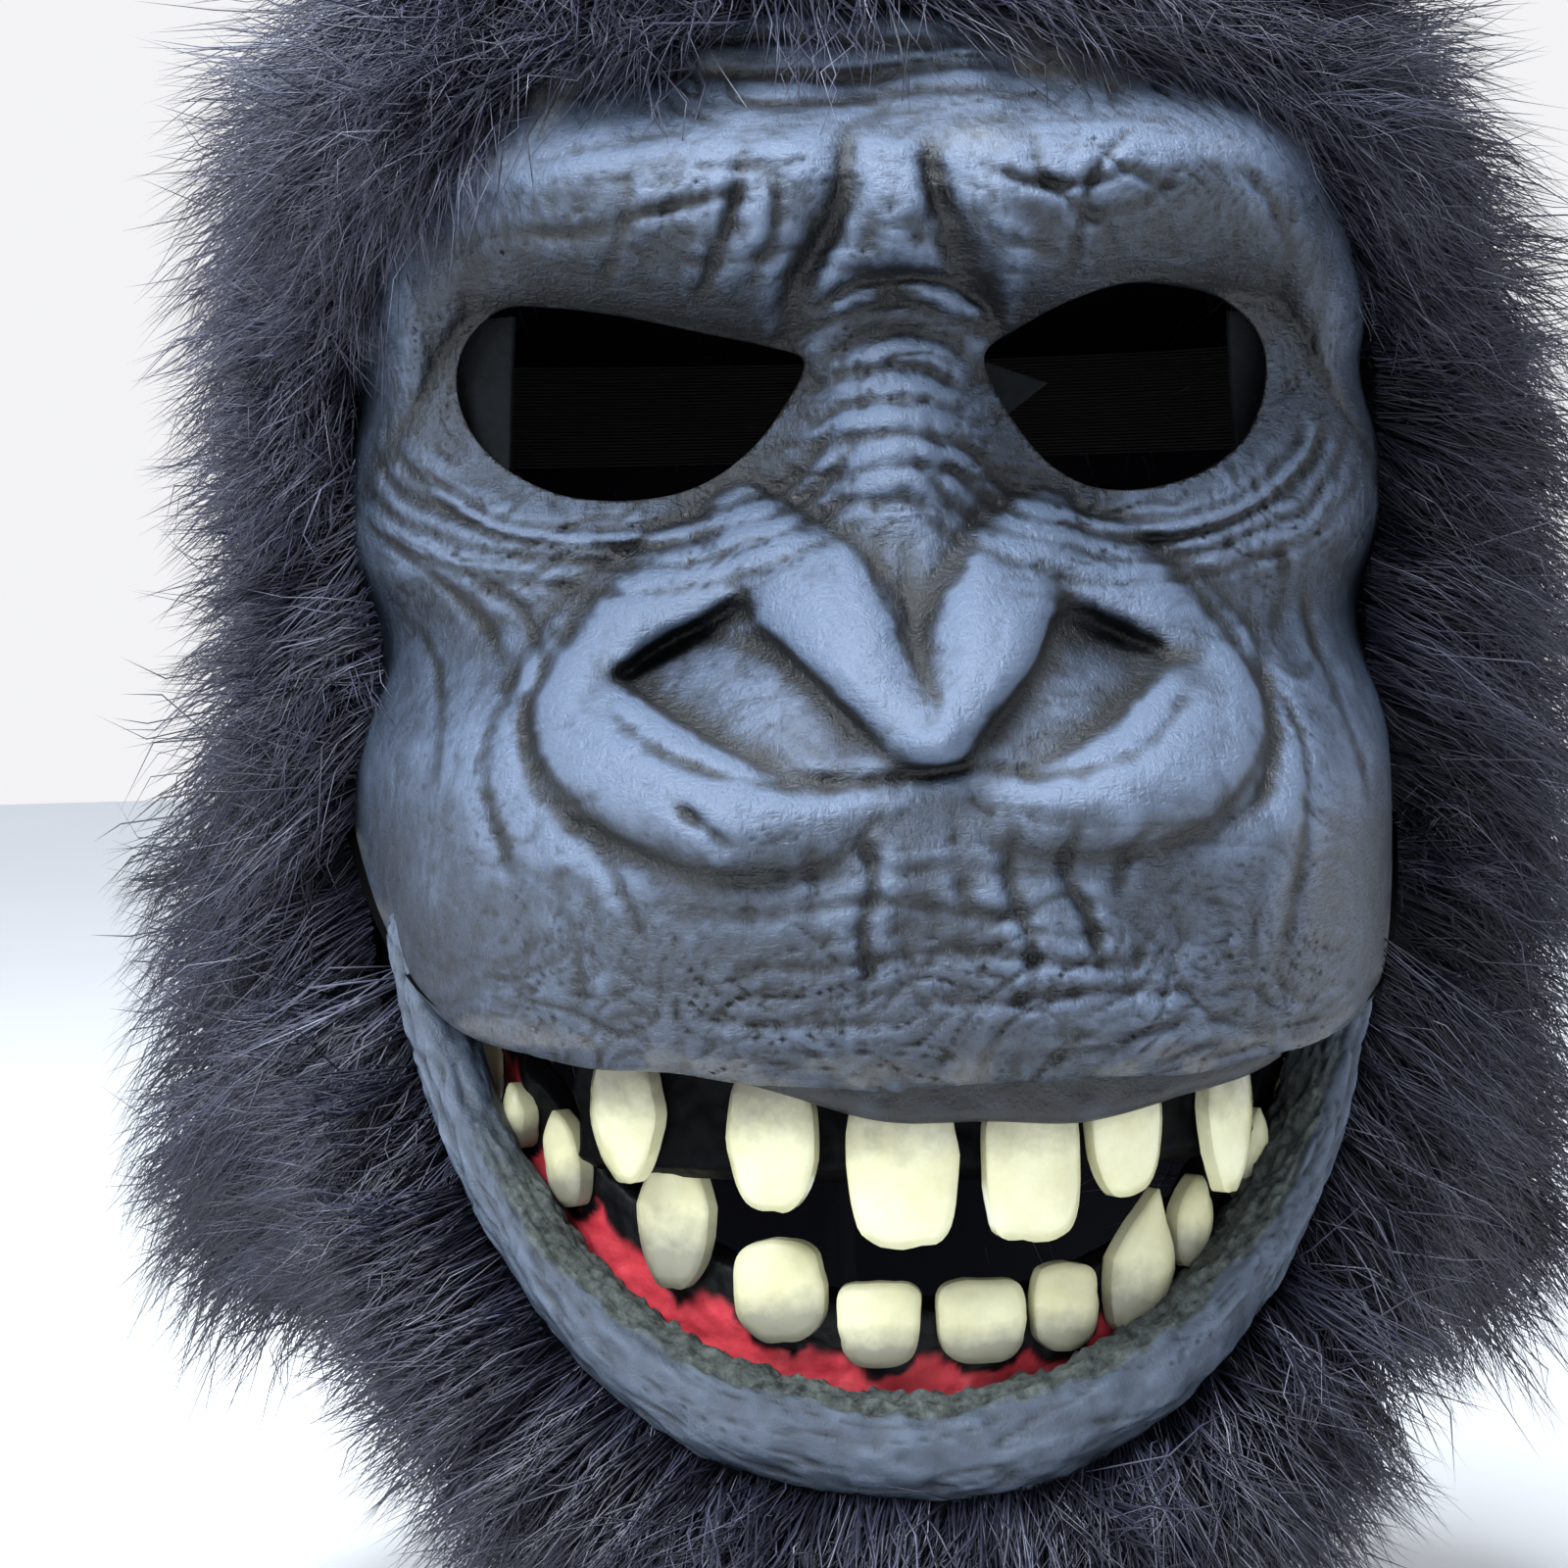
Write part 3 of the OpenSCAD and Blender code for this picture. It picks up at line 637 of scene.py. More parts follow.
def fur_material(settings):
    n = Nodes("black_faux_fur")
    tone = n.value("shade")
    n.colour(n.ramp(tone, [(0.0, (0.006, 0.006, 0.010)), (0.40, tuple(settings.fur)),
                           (0.70, (0.058, 0.060, 0.098)), (0.88, (0.110, 0.113, 0.168)),
                           (1.0, tuple(settings.stray_sheen))]))
    n.shader.inputs["Roughness"].default_value = 0.40
    n.link(n.ramp(tone, [(0.0, 0.05), (0.03, 0.6)]), n.shader.inputs["Specular IOR Level"])
    return n.mat


def cloth_material(name, colour, scale):
    n = Nodes(name)
    dark = tuple(c * 0.45 for c in colour)
    n.colour(n.ramp(n.noise(scale, 5, 0.7), [(0.3, dark), (0.7, colour)]))
    n.shader.inputs["Roughness"].default_value = 0.9
    n.shader.inputs["Specular IOR Level"].default_value = 0.15
    n.bump(n.noise(scale * 2, 4, 0.7), 0.6, 0.0008)
    return n.mat


def weave_material():
    n = Nodes("woven_elastic")
    wave = n.add("ShaderNodeTexWave", wave_type="BANDS", bands_direction="Z")
    wave.inputs["Scale"].default_value = 480
    n.link(n.place, wave.inputs["Vector"])
    # the weave is taken near black, as painted shade inside the mask
    n.colour(n.ramp(wave.outputs["Fac"], [(0.2, (0.002, 0.002, 0.002)), (0.8, (0.007, 0.007, 0.008))]))
    n.shader.inputs["Roughness"].default_value = 0.8
    n.bump(n.sum(wave.outputs["Fac"], n.noise(900, 3)), 0.6, 0.0006)
    return n.mat


# ---------------------------------------------------------------- pieces
CUTTER_STEPS = 6  # points between two corners of an eye hole's outline
CUTTER_Y = -150.0
CUTTER_LONG = 0.13


def eye_cutter(outline, name):
    """A solid that cuts an eye hole through the face."""
    clear_selection()
    count = len(outline)
    bpy.ops.mesh.primitive_circle_add(vertices=count * CUTTER_STEPS, radius=1, fill_type="NGON")
    obj = bpy.context.object
    obj.name = name
    loop = np.array(outline, float)
    t = np.arange(count * CUTTER_STEPS) / CUTTER_STEPS
    k = np.floor(t).astype(int)
    before, start, end, after = (loop[(k + shift) % count] for shift in (-1, 0, 1, 2))
    path = between(before, start, end, after, (t - k)[:, None])
    place(obj, np.column_stack([path[:, 0], np.full(len(path), CUTTER_Y), path[:, 1]]))
    pick(obj)
    bpy.ops.object.mode_set(mode="EDIT")
    bpy.ops.mesh.select_all(action="SELECT")
    bpy.ops.mesh.extrude_region_move(TRANSFORM_OT_translate={"value": (0, CUTTER_LONG, 0)})
    bpy.ops.mesh.select_all(action="SELECT")
    bpy.ops.mesh.normals_make_consistent(inside=False)
    bpy.ops.object.mode_set(mode="OBJECT")
    return obj


FACE_ROWS = 285
FACE_COLUMNS = 290
CROWDING = 1.28  # how much closer the columns stand at the sides
LIP_SHARE = 0.075  # the share of the rows that turns under as the upper lip
LIP_TURN = math.radians(150)
INNER_LEFT = 0.53  # the share of the faces left after the wall's unseen inner side is thinned out


def build_face(settings):
    obj, a, b = grid_piece("latex_face", FACE_COLUMNS, FACE_ROWS)
    t = a * 2 - 1
    x = FACE_HALF * np.sin(CROWDING * t) / math.sin(CROWDING)
    edge = lip_edge(x)
    lip_r = 5.0 - 1.5 * smooth(60, 86, np.abs(x))
    turn = LIP_TURN * np.clip(1 - b / LIP_SHARE, 0, 1)
    rise = np.clip((b - LIP_SHARE) / (1 - LIP_SHARE), 0, 1)
    crest = edge + lip_r
    z = np.where(b < LIP_SHARE, crest - lip_r * np.sin(turn), crest + (FACE_TOP - edge - lip_r) * rise)
    zf = np.maximum(z, crest)
    masses = face_masses(x, zf)
    detail = nose(x, zf) + long_creases(x, zf) + eye_rings(x, zf)
    fine = fine_wrinkles(x, z)
    border = smooth(0, 9, FACE_HALF - np.abs(x)) * smooth(0, 12, FACE_TOP - zf)
    rows = (FACE_ROWS + 1, FACE_COLUMNS + 1)
    shape = ease((masses + detail * border).reshape(rows), 1).ravel() + fine * border
    shape += 1.6 * cloud(x / 17, zf / 14, 21) * smooth(0, 20, FACE_HALF - np.abs(x))
    y = cast_front(x, zf) - shape + lip_r * (1 - np.cos(turn))
    waist = 1 - 0.045 * np.exp(-((z - 184) / 13) ** 2) - 0.03 * np.exp(-((z - 228) / 9) ** 2)
    x = x * (waist + 0.012 * np.exp(-((z - 206) / 10) ** 2))
    total = shape.reshape(rows)
    cavity = (total - ease(total, 30)).ravel()
    coarse = (total - ease(total, 160)).ravel()
    # lighter on ridges and darker in the creases: partly the mask's dry-brushed paint, partly painted shade
    # in the creases; the last term is painted shade, darker towards the muzzle's lower edge where it turns
    # under
    relief = np.clip(0.525 + 0.24 * cavity + 0.050 * coarse - 0.02 * smooth(152, 120, z), 0, 1)
    # painted light from above: the latex is painted lighter where it faces up and darker where it faces down,
    # as painted highlight and painted shade
    ahead = ease(y.reshape(rows), 3)
    climb = np.gradient(ahead, axis=0) / np.maximum(np.gradient(z.reshape(rows), axis=0), 0.2)
    painted_top_light = (climb / np.sqrt(1 + climb ** 2)).ravel() * smooth(LIP_SHARE, 0.11, b)
    relief = np.clip(relief + 0.24 * np.clip(painted_top_light, -1, 0.5), 0, 1)
    place(obj, np.column_stack([x, y, z]))
    dust = smooth(258, 274, z) * smooth(0.1, 0.7, cloud(x / 14 + 5, z / 8, 41)) * 0.9
    dust += 0.5 * smooth(0, 6, edge + 8 - z) * smooth(0.0, 0.6, cloud(x / 6, z / 3, 42))
    write_value(obj, "relief", relief)
    write_value(obj, "dust", np.clip(dust, 0, 1))
    write_value(obj, "inside", np.zeros(len(x)))
    face_front(obj)
    outer = thicken(obj, settings.face_wall, use_even_offset=False)
    inner = obj.vertex_groups.new(name="inner")
    inner.add(list(range(outer, len(obj.data.vertices))), 1.0, "REPLACE")
    apply_modifier(obj, "DECIMATE", ratio=INNER_LEFT, vertex_group="inner", vertex_group_factor=10)
    for outline, name in ((LEFT_EYE, "cut_left"), (RIGHT_EYE, "cut_right")):
        cutter = eye_cutter(outline, name)
        apply_modifier(obj, "BOOLEAN", operation="DIFFERENCE", object=cutter, solver="MANIFOLD")
        bpy.data.objects.remove(cutter)
    finish_piece(obj, latex_material(settings), "head", ["face_shell"])


JAW_Y = -42.0
JAW_ROWS = 96
JAW_COLUMNS = 300
JAW_SWEEP = 79  # degrees from the front to each mouth corner
ROLL_SHARE = 0.72  # the share of the rows that goes round the lip's roll; the rest hangs inside


def jaw_line(a):
    """The middle of the lower lip's roll at an angle from the front: outward direction, centre and radius."""
    c = 1 - np.cos(a)
    left = smooth(0.0, 0.5, -a)
    top = 64.3 + (98 * c ** 1.15) * left + (97 * c) * (1 - left)
    radius = 8.4 - 2.2 * smooth(0.4, 1.2, np.abs(a))
    out = np.column_stack([np.sin(a), -np.cos(a)])
    cx = (79 + 3 * left) * np.sin(a)
    cy = JAW_Y - 81.0 * np.cos(a)
    return out, cx, cy, top - radius, radius


def build_jaw(settings):
    obj, a, b = grid_piece("latex_jaw", JAW_COLUMNS, JAW_ROWS)
    angle = np.radians(JAW_SWEEP) * (a * 2 - 1)
    out, cx, cy, cz, radius = jaw_line(angle)
    phi = np.radians(-105 + 285 * np.clip(b / ROLL_SHARE, 0, 1))
    reach = radius * np.sin(phi)
    lift = radius * np.cos(phi)
    down = np.clip((b - ROLL_SHARE) / (1 - ROLL_SHARE), 0, 1)
    chin = 1 - smooth(0.35, 1.1, np.abs(angle))
    reach = reach - (6 + 8 * chin) * down
    lift = lift - (1 + 2 * chin) * down
    length = angle * 80
    girth = np.degrees(phi) / 9.0
    rough = 0.5 * cloud(length / 5, girth / 2 + 9, 61) + 0.2 * cloud(length / 1.8, girth + 3, 62)
    rough -= 0.55 * wrinkle(length, girth * 1.6, 8, 16, 2.6, 63) * smooth(20, 60, np.degrees(phi))
    rough -= 0.45 * wrinkle(length, girth * 1.6, 80, 9, 4.0, 64) * smooth(0.5, 0.9, np.abs(angle))
    ragged = 8 * cloud(length / 7, girth * 0 + 3, 65) + 4 * cloud(length / 2.2, girth * 0 + 8, 66)
    deg = np.degrees(phi) + ragged
    crust = smooth(-85, -66, deg) * smooth(0, 8, 44 - deg) * smooth(1.15, 0.9, np.abs(angle - 0.05))
    crust = np.clip(crust, 0, 1)
    rough += crust * (0.9 * cloud(length / 1.3, girth * 2, 67) + 0.9 * cloud(length / 3.1, girth * 1.2, 68))
    reach = reach + rough * np.sin(phi)
    x = cx + out[:, 0] * reach
    y = cy + out[:, 1] * reach
    z = cz + lift + rough * np.cos(phi)
    place(obj, np.column_stack([x, y, z]))
    total = rough.reshape(JAW_ROWS + 1, JAW_COLUMNS + 1)
    # on the lower lip: darker in its creases and darker on the roll's underside, both painted shade
    relief = 0.60 + 0.42 * (total - ease(total, 25)).ravel() - 0.12 * smooth(100, 160, np.degrees(phi))
    write_value(obj, "relief", np.clip(relief, 0, 1))
    write_value(obj, "crust", crust)
    write_value(obj, "inside", 0 * b)
    face_front(obj)
    thicken(obj, settings.jaw_wall)
    finish_piece(obj, lip_material(settings), "jaw", ["jaw_shell"])


UPPER_Y = -62.0
UPPER_R = 66.0
LOWER_Y = -48.0
LOWER_R = 69.0

TOOTH_CUTS = 11
POINTED = 0.6  # a taper above this makes a canine's point
GUM_WALL = 0.003

# tooth: angle from the front, height of its middle, width, height, lean, squareness, and taper
# towards the biting edge
UPPER_TEETH = {
    "upper_far_tooth_left": (-44.5, 109.5, 14.0, 22.5, 0, 3.0, 0.5),
    "upper_side_tooth_left": (-21.5, 107, 14.5, 24, 0, 3.2, 0.25),
    "upper_incisor_left": (-4, 103.5, 17.5, 28, 0, 4.5, 0.12),
    "upper_incisor_right": (13.5, 103.5, 15.5, 28, 0, 5.0, 0.08),
    "upper_side_tooth_right": (27.5, 107, 13.0, 23, 0, 3.6, 0.25),
    "upper_far_tooth_right": (47, 106, 12.0, 25, 0, 3.0, 0.45),
}
LOWER_TEETH = {
    "lower_corner_tooth_left": (-84, 111, 6.5, 12, -14, 2.4, 0.5),
    "lower_far_tooth_left": (-66, 106, 6.5, 11, -12, 2.4, 0.5),
    "lower_molar_left": (-54, 100, 9.5, 16, -14, 2.6, 0.45),
    "lower_canine_left": (-34.2, 94, 13.5, 27, 3, 2.6, 0.86),
    "lower_side_tooth_left": (-19.6, 81, 15.0, 16.5, -5, 3.2, 0.05),
    "lower_incisor_left": (-6.7, 75.5, 13.0, 13.5, 0, 4.0, -0.15),
    "lower_incisor_right": (6.6, 75.5, 14.0, 13.5, 0, 3.8, -0.12),
    "lower_side_tooth_right": (17.9, 77, 11.0, 14, 3, 3.6, -0.05),
    "lower_canine_right": (29.7, 82.5, 12.5, 24, 14, 2.6, 0.86),
    "lower_molar_right": (38.5, 88.5, 8.0, 15, 12, 2.6, 0.5),
    "lower_far_tooth_right": (52, 97, 7.0, 16, 14, 2.4, 0.5),
    "lower_corner_tooth_right": (66, 104, 6.0, 15, 14, 2.4, 0.5),
}


def build_tooth(name, y0, r, facts, up, material, body, seed):
    """A tooth on a gum of radius r round y0: a cube rounded to a crown, biting down where up is true."""
    angle, z0, width, height, lean, square, narrow = facts
    clear_selection()
    bpy.ops.mesh.primitive_cube_add(size=2)
    obj = bpy.context.object
    obj.name = name.replace("tooth", "crown") + "_paint"
    obj.data.name = obj.name
    pick(obj)
    bpy.ops.object.mode_set(mode="EDIT")
    bpy.ops.mesh.select_all(action="SELECT")
    bpy.ops.mesh.subdivide(number_cuts=TOOTH_CUTS)
    bpy.ops.object.mode_set(mode="OBJECT")
    p = coords(obj)
    q = np.abs(p) ** square
    plan = (q[:, 0] + q[:, 2]) ** (1 / square)
    scale = np.maximum(np.maximum(np.abs(p[:, 0]), np.abs(p[:, 2])), 1e-6) / np.maximum(plan, 1e-6)
    u = p[:, 0] * scale
    w = p[:, 2] * scale
    rim = np.clip(np.hypot(u, w), 0, 1.3)
    depth = p[:, 1] * (1 - 0.45 * np.clip(plan * scale, 0, 1) ** 3)
    bite = w * (-1 if up else 1)
    power = 1.25 if narrow > POINTED else 1.6
    u = u * (1 - narrow * np.clip(bite, 0, 1) ** power) * (1 - 0.18 * np.clip(-bite, 0, 1) ** 2)
    front = depth * 2.6 - 0.5 * (1 - rim ** 2) * (depth < 0)
    front += 0.25 * cloud(u * 2 + seed, w * 2 + 5, 71) + 0.12 * cloud(u * 6 + seed, w * 6, 72)
    ragged = 0.03 * cloud(w * 3 + seed, u * 3, 73)
    x = (u + ragged) * width / 2
    z = (w + ragged) * height / 2
    c = math.cos(math.radians(lean))
    s = math.sin(math.radians(lean))
    x, z = x * c + z * s, -x * s + z * c
    y = -(r + 1.4) + front
    a = math.radians(angle)
    across = x * math.cos(a) - y * math.sin(a)
    ahead = y0 + x * math.sin(a) + y * math.cos(a)
    place(obj, np.column_stack([across, ahead, z0 + z]))
    write_value(obj, "root", np.clip(0.5 - bite * 0.5, 0, 1))
    finish_piece(obj, material, body, [name])


def build_teeth(settings):
    glossy = tooth_material(settings, "varnished_tooth", 0.14, 0.5)
    matt = tooth_material(settings, "matt_tooth", 0.42, 0.05)
    for i, (name, facts) in enumerate(UPPER_TEETH.items()):
        build_tooth(name, UPPER_Y, UPPER_R, facts, True, glossy, "head", i * 7)
    for i, (name, facts) in enumerate(LOWER_TEETH.items()):
        build_tooth(name, LOWER_Y, LOWER_R, facts, False, matt, "jaw", 50 + i * 7)


def gum_wall(name, y0, r, side, low, high, teeth, across, up):
    """A bent gum plate with a swelling over each tooth's root."""
    obj, a, b = grid_piece(name, across, up)
    angle = np.radians(side) * (a * 2 - 1)
    z = low(angle) + (high(angle) - low(angle)) * b
    out = np.zeros(len(a))
    for tooth_angle, z0, width, *_ in teeth.values():
        d = (np.degrees(angle) - tooth_angle) * math.radians(1) * r
        out += 1.8 * np.exp(-(d / (width * 0.42)) ** 2 - ((z - z0) / 9) ** 4)
    out += 0.5 * cloud(angle * 14, z / 4, 81) + 0.25 * cloud(angle * 45, z / 1.6, 82)
    out -= 3.5 * smooth(0.75, 1.0, np.abs(b * 2 - 1)) ** 2
    rr = r - 0.8 + out
    place(obj, np.column_stack([rr * np.sin(angle), y0 - rr * np.cos(angle), z]))
    return obj, angle, z, b


def build_gums(settings):
    upper, *_ = gum_wall("upper_gum_paint", UPPER_Y, UPPER_R, 58, lambda t: 99.0 + 0 * t,
                         lambda t: 127.0 + 0 * t, UPPER_TEETH, 160, 34)
    face_front(upper)
    apply_modifier(upper, "SOLIDIFY", thickness=GUM_WALL, offset=-1)
    finish_piece(upper, black_gum_material(), "head", ["upper_gum"])
    lower, angle, z, b = gum_wall("lower_gum_paint", LOWER_Y, LOWER_R, JAW_SWEEP,
                                  lambda t: 56.0 + 62 * (1 - np.cos(t)),
                                  lambda t: 79.0 + 62 * (1 - np.cos(t)), LOWER_TEETH, 260, 40)
    line = 0.60 + 0.08 * cloud(angle * 9, angle * 0, 83) + 0.05 * cloud(angle * 30, angle * 0, 84)
    # the black round each tooth's base is partly black paint and partly painted shade where tooth meets gum
    black = smooth(-0.05, 0.05, b - line)
    for tooth_angle, z0, width, height, *_ in LOWER_TEETH.values():
        d = (np.degrees(angle) - tooth_angle) * math.radians(1) * LOWER_R
        ring = (d / (width / 2 + 2.0)) ** 2 + ((z - z0) / (height / 2 + 2.2)) ** 2
        ring = ring + 0.25 * cloud(angle * 40, z / 2, 85)
        black = np.maximum(black, smooth(1.15, 0.85, ring))
    right_end = smooth(30, 40, np.degrees(angle))
    write_value(lower, "black", np.clip(black + right_end, 0, 1))
    face_front(lower)
    apply_modifier(lower, "SOLIDIFY", thickness=GUM_WALL, offset=-1)
    finish_piece(lower, red_gum_material(settings), "jaw", ["lower_gum"])


# ---------------------------------------------------------------- fur
STRAND_POINTS = 10
CURL = 1.5  # how far a strand waves from side to side, for each CURL_LENGTH of it
CURL_LENGTH = 36
CROWN_POLE = 349.93  # the fur's backing stops just short of the crown's pole


def strand_mesh(roots, first, last, length, width, shade):
    """Closed three-sided strands, as points, quads, triangles and a shade for each point.

    first and last are the directions at the root and at the tip.
    """
    count = len(roots)
    curl = np.random.default_rng(count).normal(0, CURL, (count, 3)) * (length / CURL_LENGTH)[:, None]
    steps = (0.0, 0.36, 0.70, 1.0)
    at = roots.copy()
    spine = [at.copy()]
    for k in range(1, 4):
        mid = (steps[k] + steps[k - 1]) / 2
        d = unit(first * (1 - mid) ** 1.2 + last * mid)
        at = at + d * (length * (steps[k] - steps[k - 1]))[:, None]
        spine.append(at + curl * (0.0, 1.0, -0.7, 0.6)[k])
    way = unit(spine[3] - spine[0])
    side = unit(np.cross(way, np.array([[0.31, 0.17, 0.93]])))
    over = np.cross(way, side)
    points = np.empty((count, STRAND_POINTS, 3))
    for ring in range(3):
        w = (width * (0.75, 1.0, 0.62)[ring])[:, None]
        for corner in range(3):
            a = 2 * math.pi * corner / 3
            points[:, ring * 3 + corner] = spine[ring] + w * (math.cos(a) * side + math.sin(a) * over)
    points[:, -1] = spine[3]
    quads = []
    for low in (0, 3):
        for corner in range(3):
            n = (corner + 1) % 3
            quads.append([low + corner, low + n, low + 3 + n, low + 3 + corner])
    tris = [[0, 2, 1], [6, 7, 9], [7, 8, 9], [8, 6, 9]]
    return points.reshape(-1, 3), quads, tris, np.repeat(shade, STRAND_POINTS)


def hold_in(points):
    """Draws in the tips that would stand out past the pile's full width and depth."""
    held = points.copy()
    for axis, start, room in ((0, 126, 22), (1, 140, 20)):
        size = np.abs(held[:, axis])
        over = np.maximum(size - start, 0)
        held[:, axis] = np.sign(held[:, axis]) * (np.minimum(size, start) + room * (1 - np.exp(-over / room)))
    return held


def fur_object(name, base_points, base_quads, strands):
    """One mesh from a backing of quads and its strands."""
    points, quads, tris, shade = strands
    count = len(points) // STRAND_POINTS
    start = len(base_points)
    offs = (np.arange(count) * STRAND_POINTS + start)[:, None, None]
    all_quads = np.vstack([np.asarray(base_quads).reshape(-1, 4), (np.array(quads) + offs).reshape(-1, 4)])
    all_tris = (np.array(tris) + offs).reshape(-1, 3)
    mesh = bpy.data.meshes.new(name)
    verts = np.vstack([base_points, hold_in(points)]) * MM
    mesh.vertices.add(len(verts))
    mesh.vertices.foreach_set("co", verts.ravel())
    loops = np.concatenate([all_quads.ravel(), all_tris.ravel()])
    mesh.loops.add(len(loops))
    mesh.loops.foreach_set("vertex_index", loops)
    sizes = np.concatenate([np.full(len(all_quads), 4), np.full(len(all_tris), 3)])
    starts = np.concatenate([[0], np.cumsum(sizes)[:-1]])
    mesh.polygons.add(len(sizes))
    mesh.polygons.foreach_set("loop_start", starts)
    mesh.update(calc_edges=True)
    mesh.validate()
    obj = bpy.data.objects.new(name, mesh)
    bpy.context.collection.objects.link(obj)
    write_value(obj, "shade", np.concatenate([np.zeros(start), shade]))
    return obj


def head_frame(turn, z):
    """Points and outward directions on the head's surface at an angle from the front."""
    def at(t, h):
        s = np.sin(t)
        c = np.cos(t)
        bs = np.sign(s) * np.abs(s) ** (2 / PLAN_POWER)
        bc = np.sign(c) * np.abs(c) ** (2 / PLAN_POWER)
        return np.column_stack([half_width(h) * bs, AXIS_Y - half_depth(h) * bc, h])
    p = at(turn, z)
    step = 0.02
    du = at(turn + step, z) - at(turn - step, z)
    dv = at(turn, np.minimum(z + 1, SPRING_Z + DOME_H - 0.01)) - at(turn, z - 1)
    normal = unit(np.cross(du, dv))
    flip = np.sign(np.sum(normal * (p - np.array([0, AXIS_Y, 170])), axis=1))
    return p, normal * flip[:, None]


def comb(p, normal):
    """The way that the pile lies at points on the hood."""
    x, y, z = p[:, 0], p[:, 1], p[:, 2]
    s = np.tanh((x + 6) / 14)
    front = smooth(0, 60, -y + 10)
    high = smooth(232, 300, z)
    way = np.zeros_like(p)
    way[:, 0] = s * (0.95 * front + 0.35) * (1 - 0.55 * high) + 0.30 * high
    way[:, 1] = 0.45 * (1 - front) - 0.05 * high - 0.75 * high * front
    way[:, 2] = -0.50 - 0.05 * high - 0.25 * (1 - front)
    low_right = smooth(128, 96, z) * smooth(60, 84, x) * front
    way[:, 0] -= 1.7 * low_right
    way[:, 1] -= 0.5 * low_right
    way += 0.50 * np.column_stack([cloud(y / 24 + 3, z / 20, 91), cloud(x / 26, z / 24 + 9, 92),
                                   cloud(x / 22 + 5, y / 22 + z / 19, 93)])
    way -= normal * np.sum(way * normal, axis=1, keepdims=True)
    return unit(way)


def stand_off(p):
    """How far the pile stands out from the hood at points, in millimetres."""
    left = np.interp(p[:, 2], [30, 70, 80, 114, 145, 176, 200, 243, 290, 350],
                     [20, 46, 54, 52, 49, 37, 25, 31, 36, 22])
    right = np.interp(p[:, 2], [30, 70, 100, 200, 250, 290, 350], [28, 50, 52, 48, 43, 32, 22])
    mix = smooth(-20, 20, p[:, 0])
    side = left * (1 - mix) + right * mix
    behind = smooth(10, 50, p[:, 1])
    return side * (1 - behind) + 24 * behind


def groom(p, normal, way, rng, long, lift, clumps, width):
    """Strands gathered in locks, as strand_mesh gives them."""
    count = len(p)
    length = long * (0.62 + 0.5 * rng.random(count))
    tree = kdtree.KDTree(clumps)
    centre = rng.choice(count, clumps, replace=False)
    for i, c in enumerate(centre):
        tree.insert(p[c], i)
    tree.balance()
    owner = np.array([tree.find(v)[1] for v in p])
    lift = np.asarray(lift) * np.ones(count)
    lock_turn = rng.normal(0, 0.34, (clumps, 3))[owner]
    own_turn = rng.normal(0, 0.26, (count, 3))
    first = unit(normal * (0.35 + lift)[:, None] + way * 0.7 + lock_turn * 0.5 + own_turn)
    last = unit(way + normal * (0.75 * lift - 0.10)[:, None] + lock_turn + own_turn * 0.7)
    lead_first = first[centre][owner]
    lead_last = last[centre][owner]
    pull = unit(p[centre][owner] + lead_first * 20 + lead_last * 30 - (p + first * 20))
    loose = rng.random(count) < 0.20
    gather = np.where(loose, 0.0, 0.72)[:, None]
    last = unit(last * (1 - gather) + (0.55 * lead_last + 0.45 * pull) * gather
                + np.where(loose, 0.45, 0.0)[:, None] * rng.normal(0, 0.6, (count, 3)))
    first = unit(first * (1 - 0.5 * gather) + lead_first * 0.5 * gather)
    tone = rng.random(clumps)[owner] * 0.40 + rng.random(count) * 0.42
    # painted light: strands towards the upper left are painted lighter and strands towards the lower right
    # darker
    tone = tone + 0.10 * smooth(150, 260, p[:, 2]) * smooth(20, -40, p[:, 0])
    tone = tone - 0.10 * smooth(160, 90, p[:, 2]) * smooth(20, 60, p[:, 0])
    # stray single strands, painted light as painted sheen on the fur
    stray = rng.random(count) < 0.07
    tone = np.where(stray, 0.90 + 0.1 * rng.random(count), tone)
    w = width * (0.7 + 0.6 * rng.random(count))
    w = np.where(stray, w * 0.55, w)
    return strand_mesh(p, first, last, length, w, tone)


def mesh_of(turns, rows):
    """The angle and the share of the height at each point of a grid."""
    tt, hh = np.meshgrid(turns, np.linspace(0, 1, rows + 1))
    return tt.ravel(), hh.ravel()


def backing(t0, t1, floor, top, across, up):
    """A thin closed backing cloth over part of the head: points and quads."""
    tt, hh = mesh_of(np.linspace(t0, t1, across + 1), up)
    zz = floor(tt) + (top - floor(tt)) * np.sin(hh * math.pi / 2) ** 1.2
    p, normal = head_frame(tt, zz)
    tuck = (5.5 * smooth(92, 76, np.abs(np.degrees(tt))) * (zz < 285))[:, None]
    outer = p + normal * (3.2 - tuck)
    inner = p + normal * (0.6 - tuck)
    return closed_grid(outer, inner, across, up)


def closed_grid(outer, inner, across, up):
    """Points and quads of a thin closed sheet between two grids of points."""
    wide = across + 1
    n = wide * (up + 1)
    quads = []
    for i in range(up):
        for j in range(across):
            a = i * wide + j
            quads.append((a, a + 1, a + wide + 1, a + wide))
            quads.append((n + a, n + a + wide, n + a + wide + 1, n + a + 1))
    for j in range(across):
        a = up * wide + j
        quads.append((j + 1, j, n + j, n + j + 1))
        quads.append((a, a + 1, n + a + 1, n + a))
    for i in range(up):
        a = i * wide
        c = i * wide + across
        quads.append((a + wide, a, n + a, n + a + wide))
        quads.append((c, c + wide, n + c + wide, n + c))
    return np.vstack([outer, inner]), quads


def hem(x):
    """Height of the hood's lower edge at x."""
    return np.interp(np.abs(x), [0, 54, 56, 62, 78, 100, 130], [2, 2, 30, 50, 66, 74, 76])


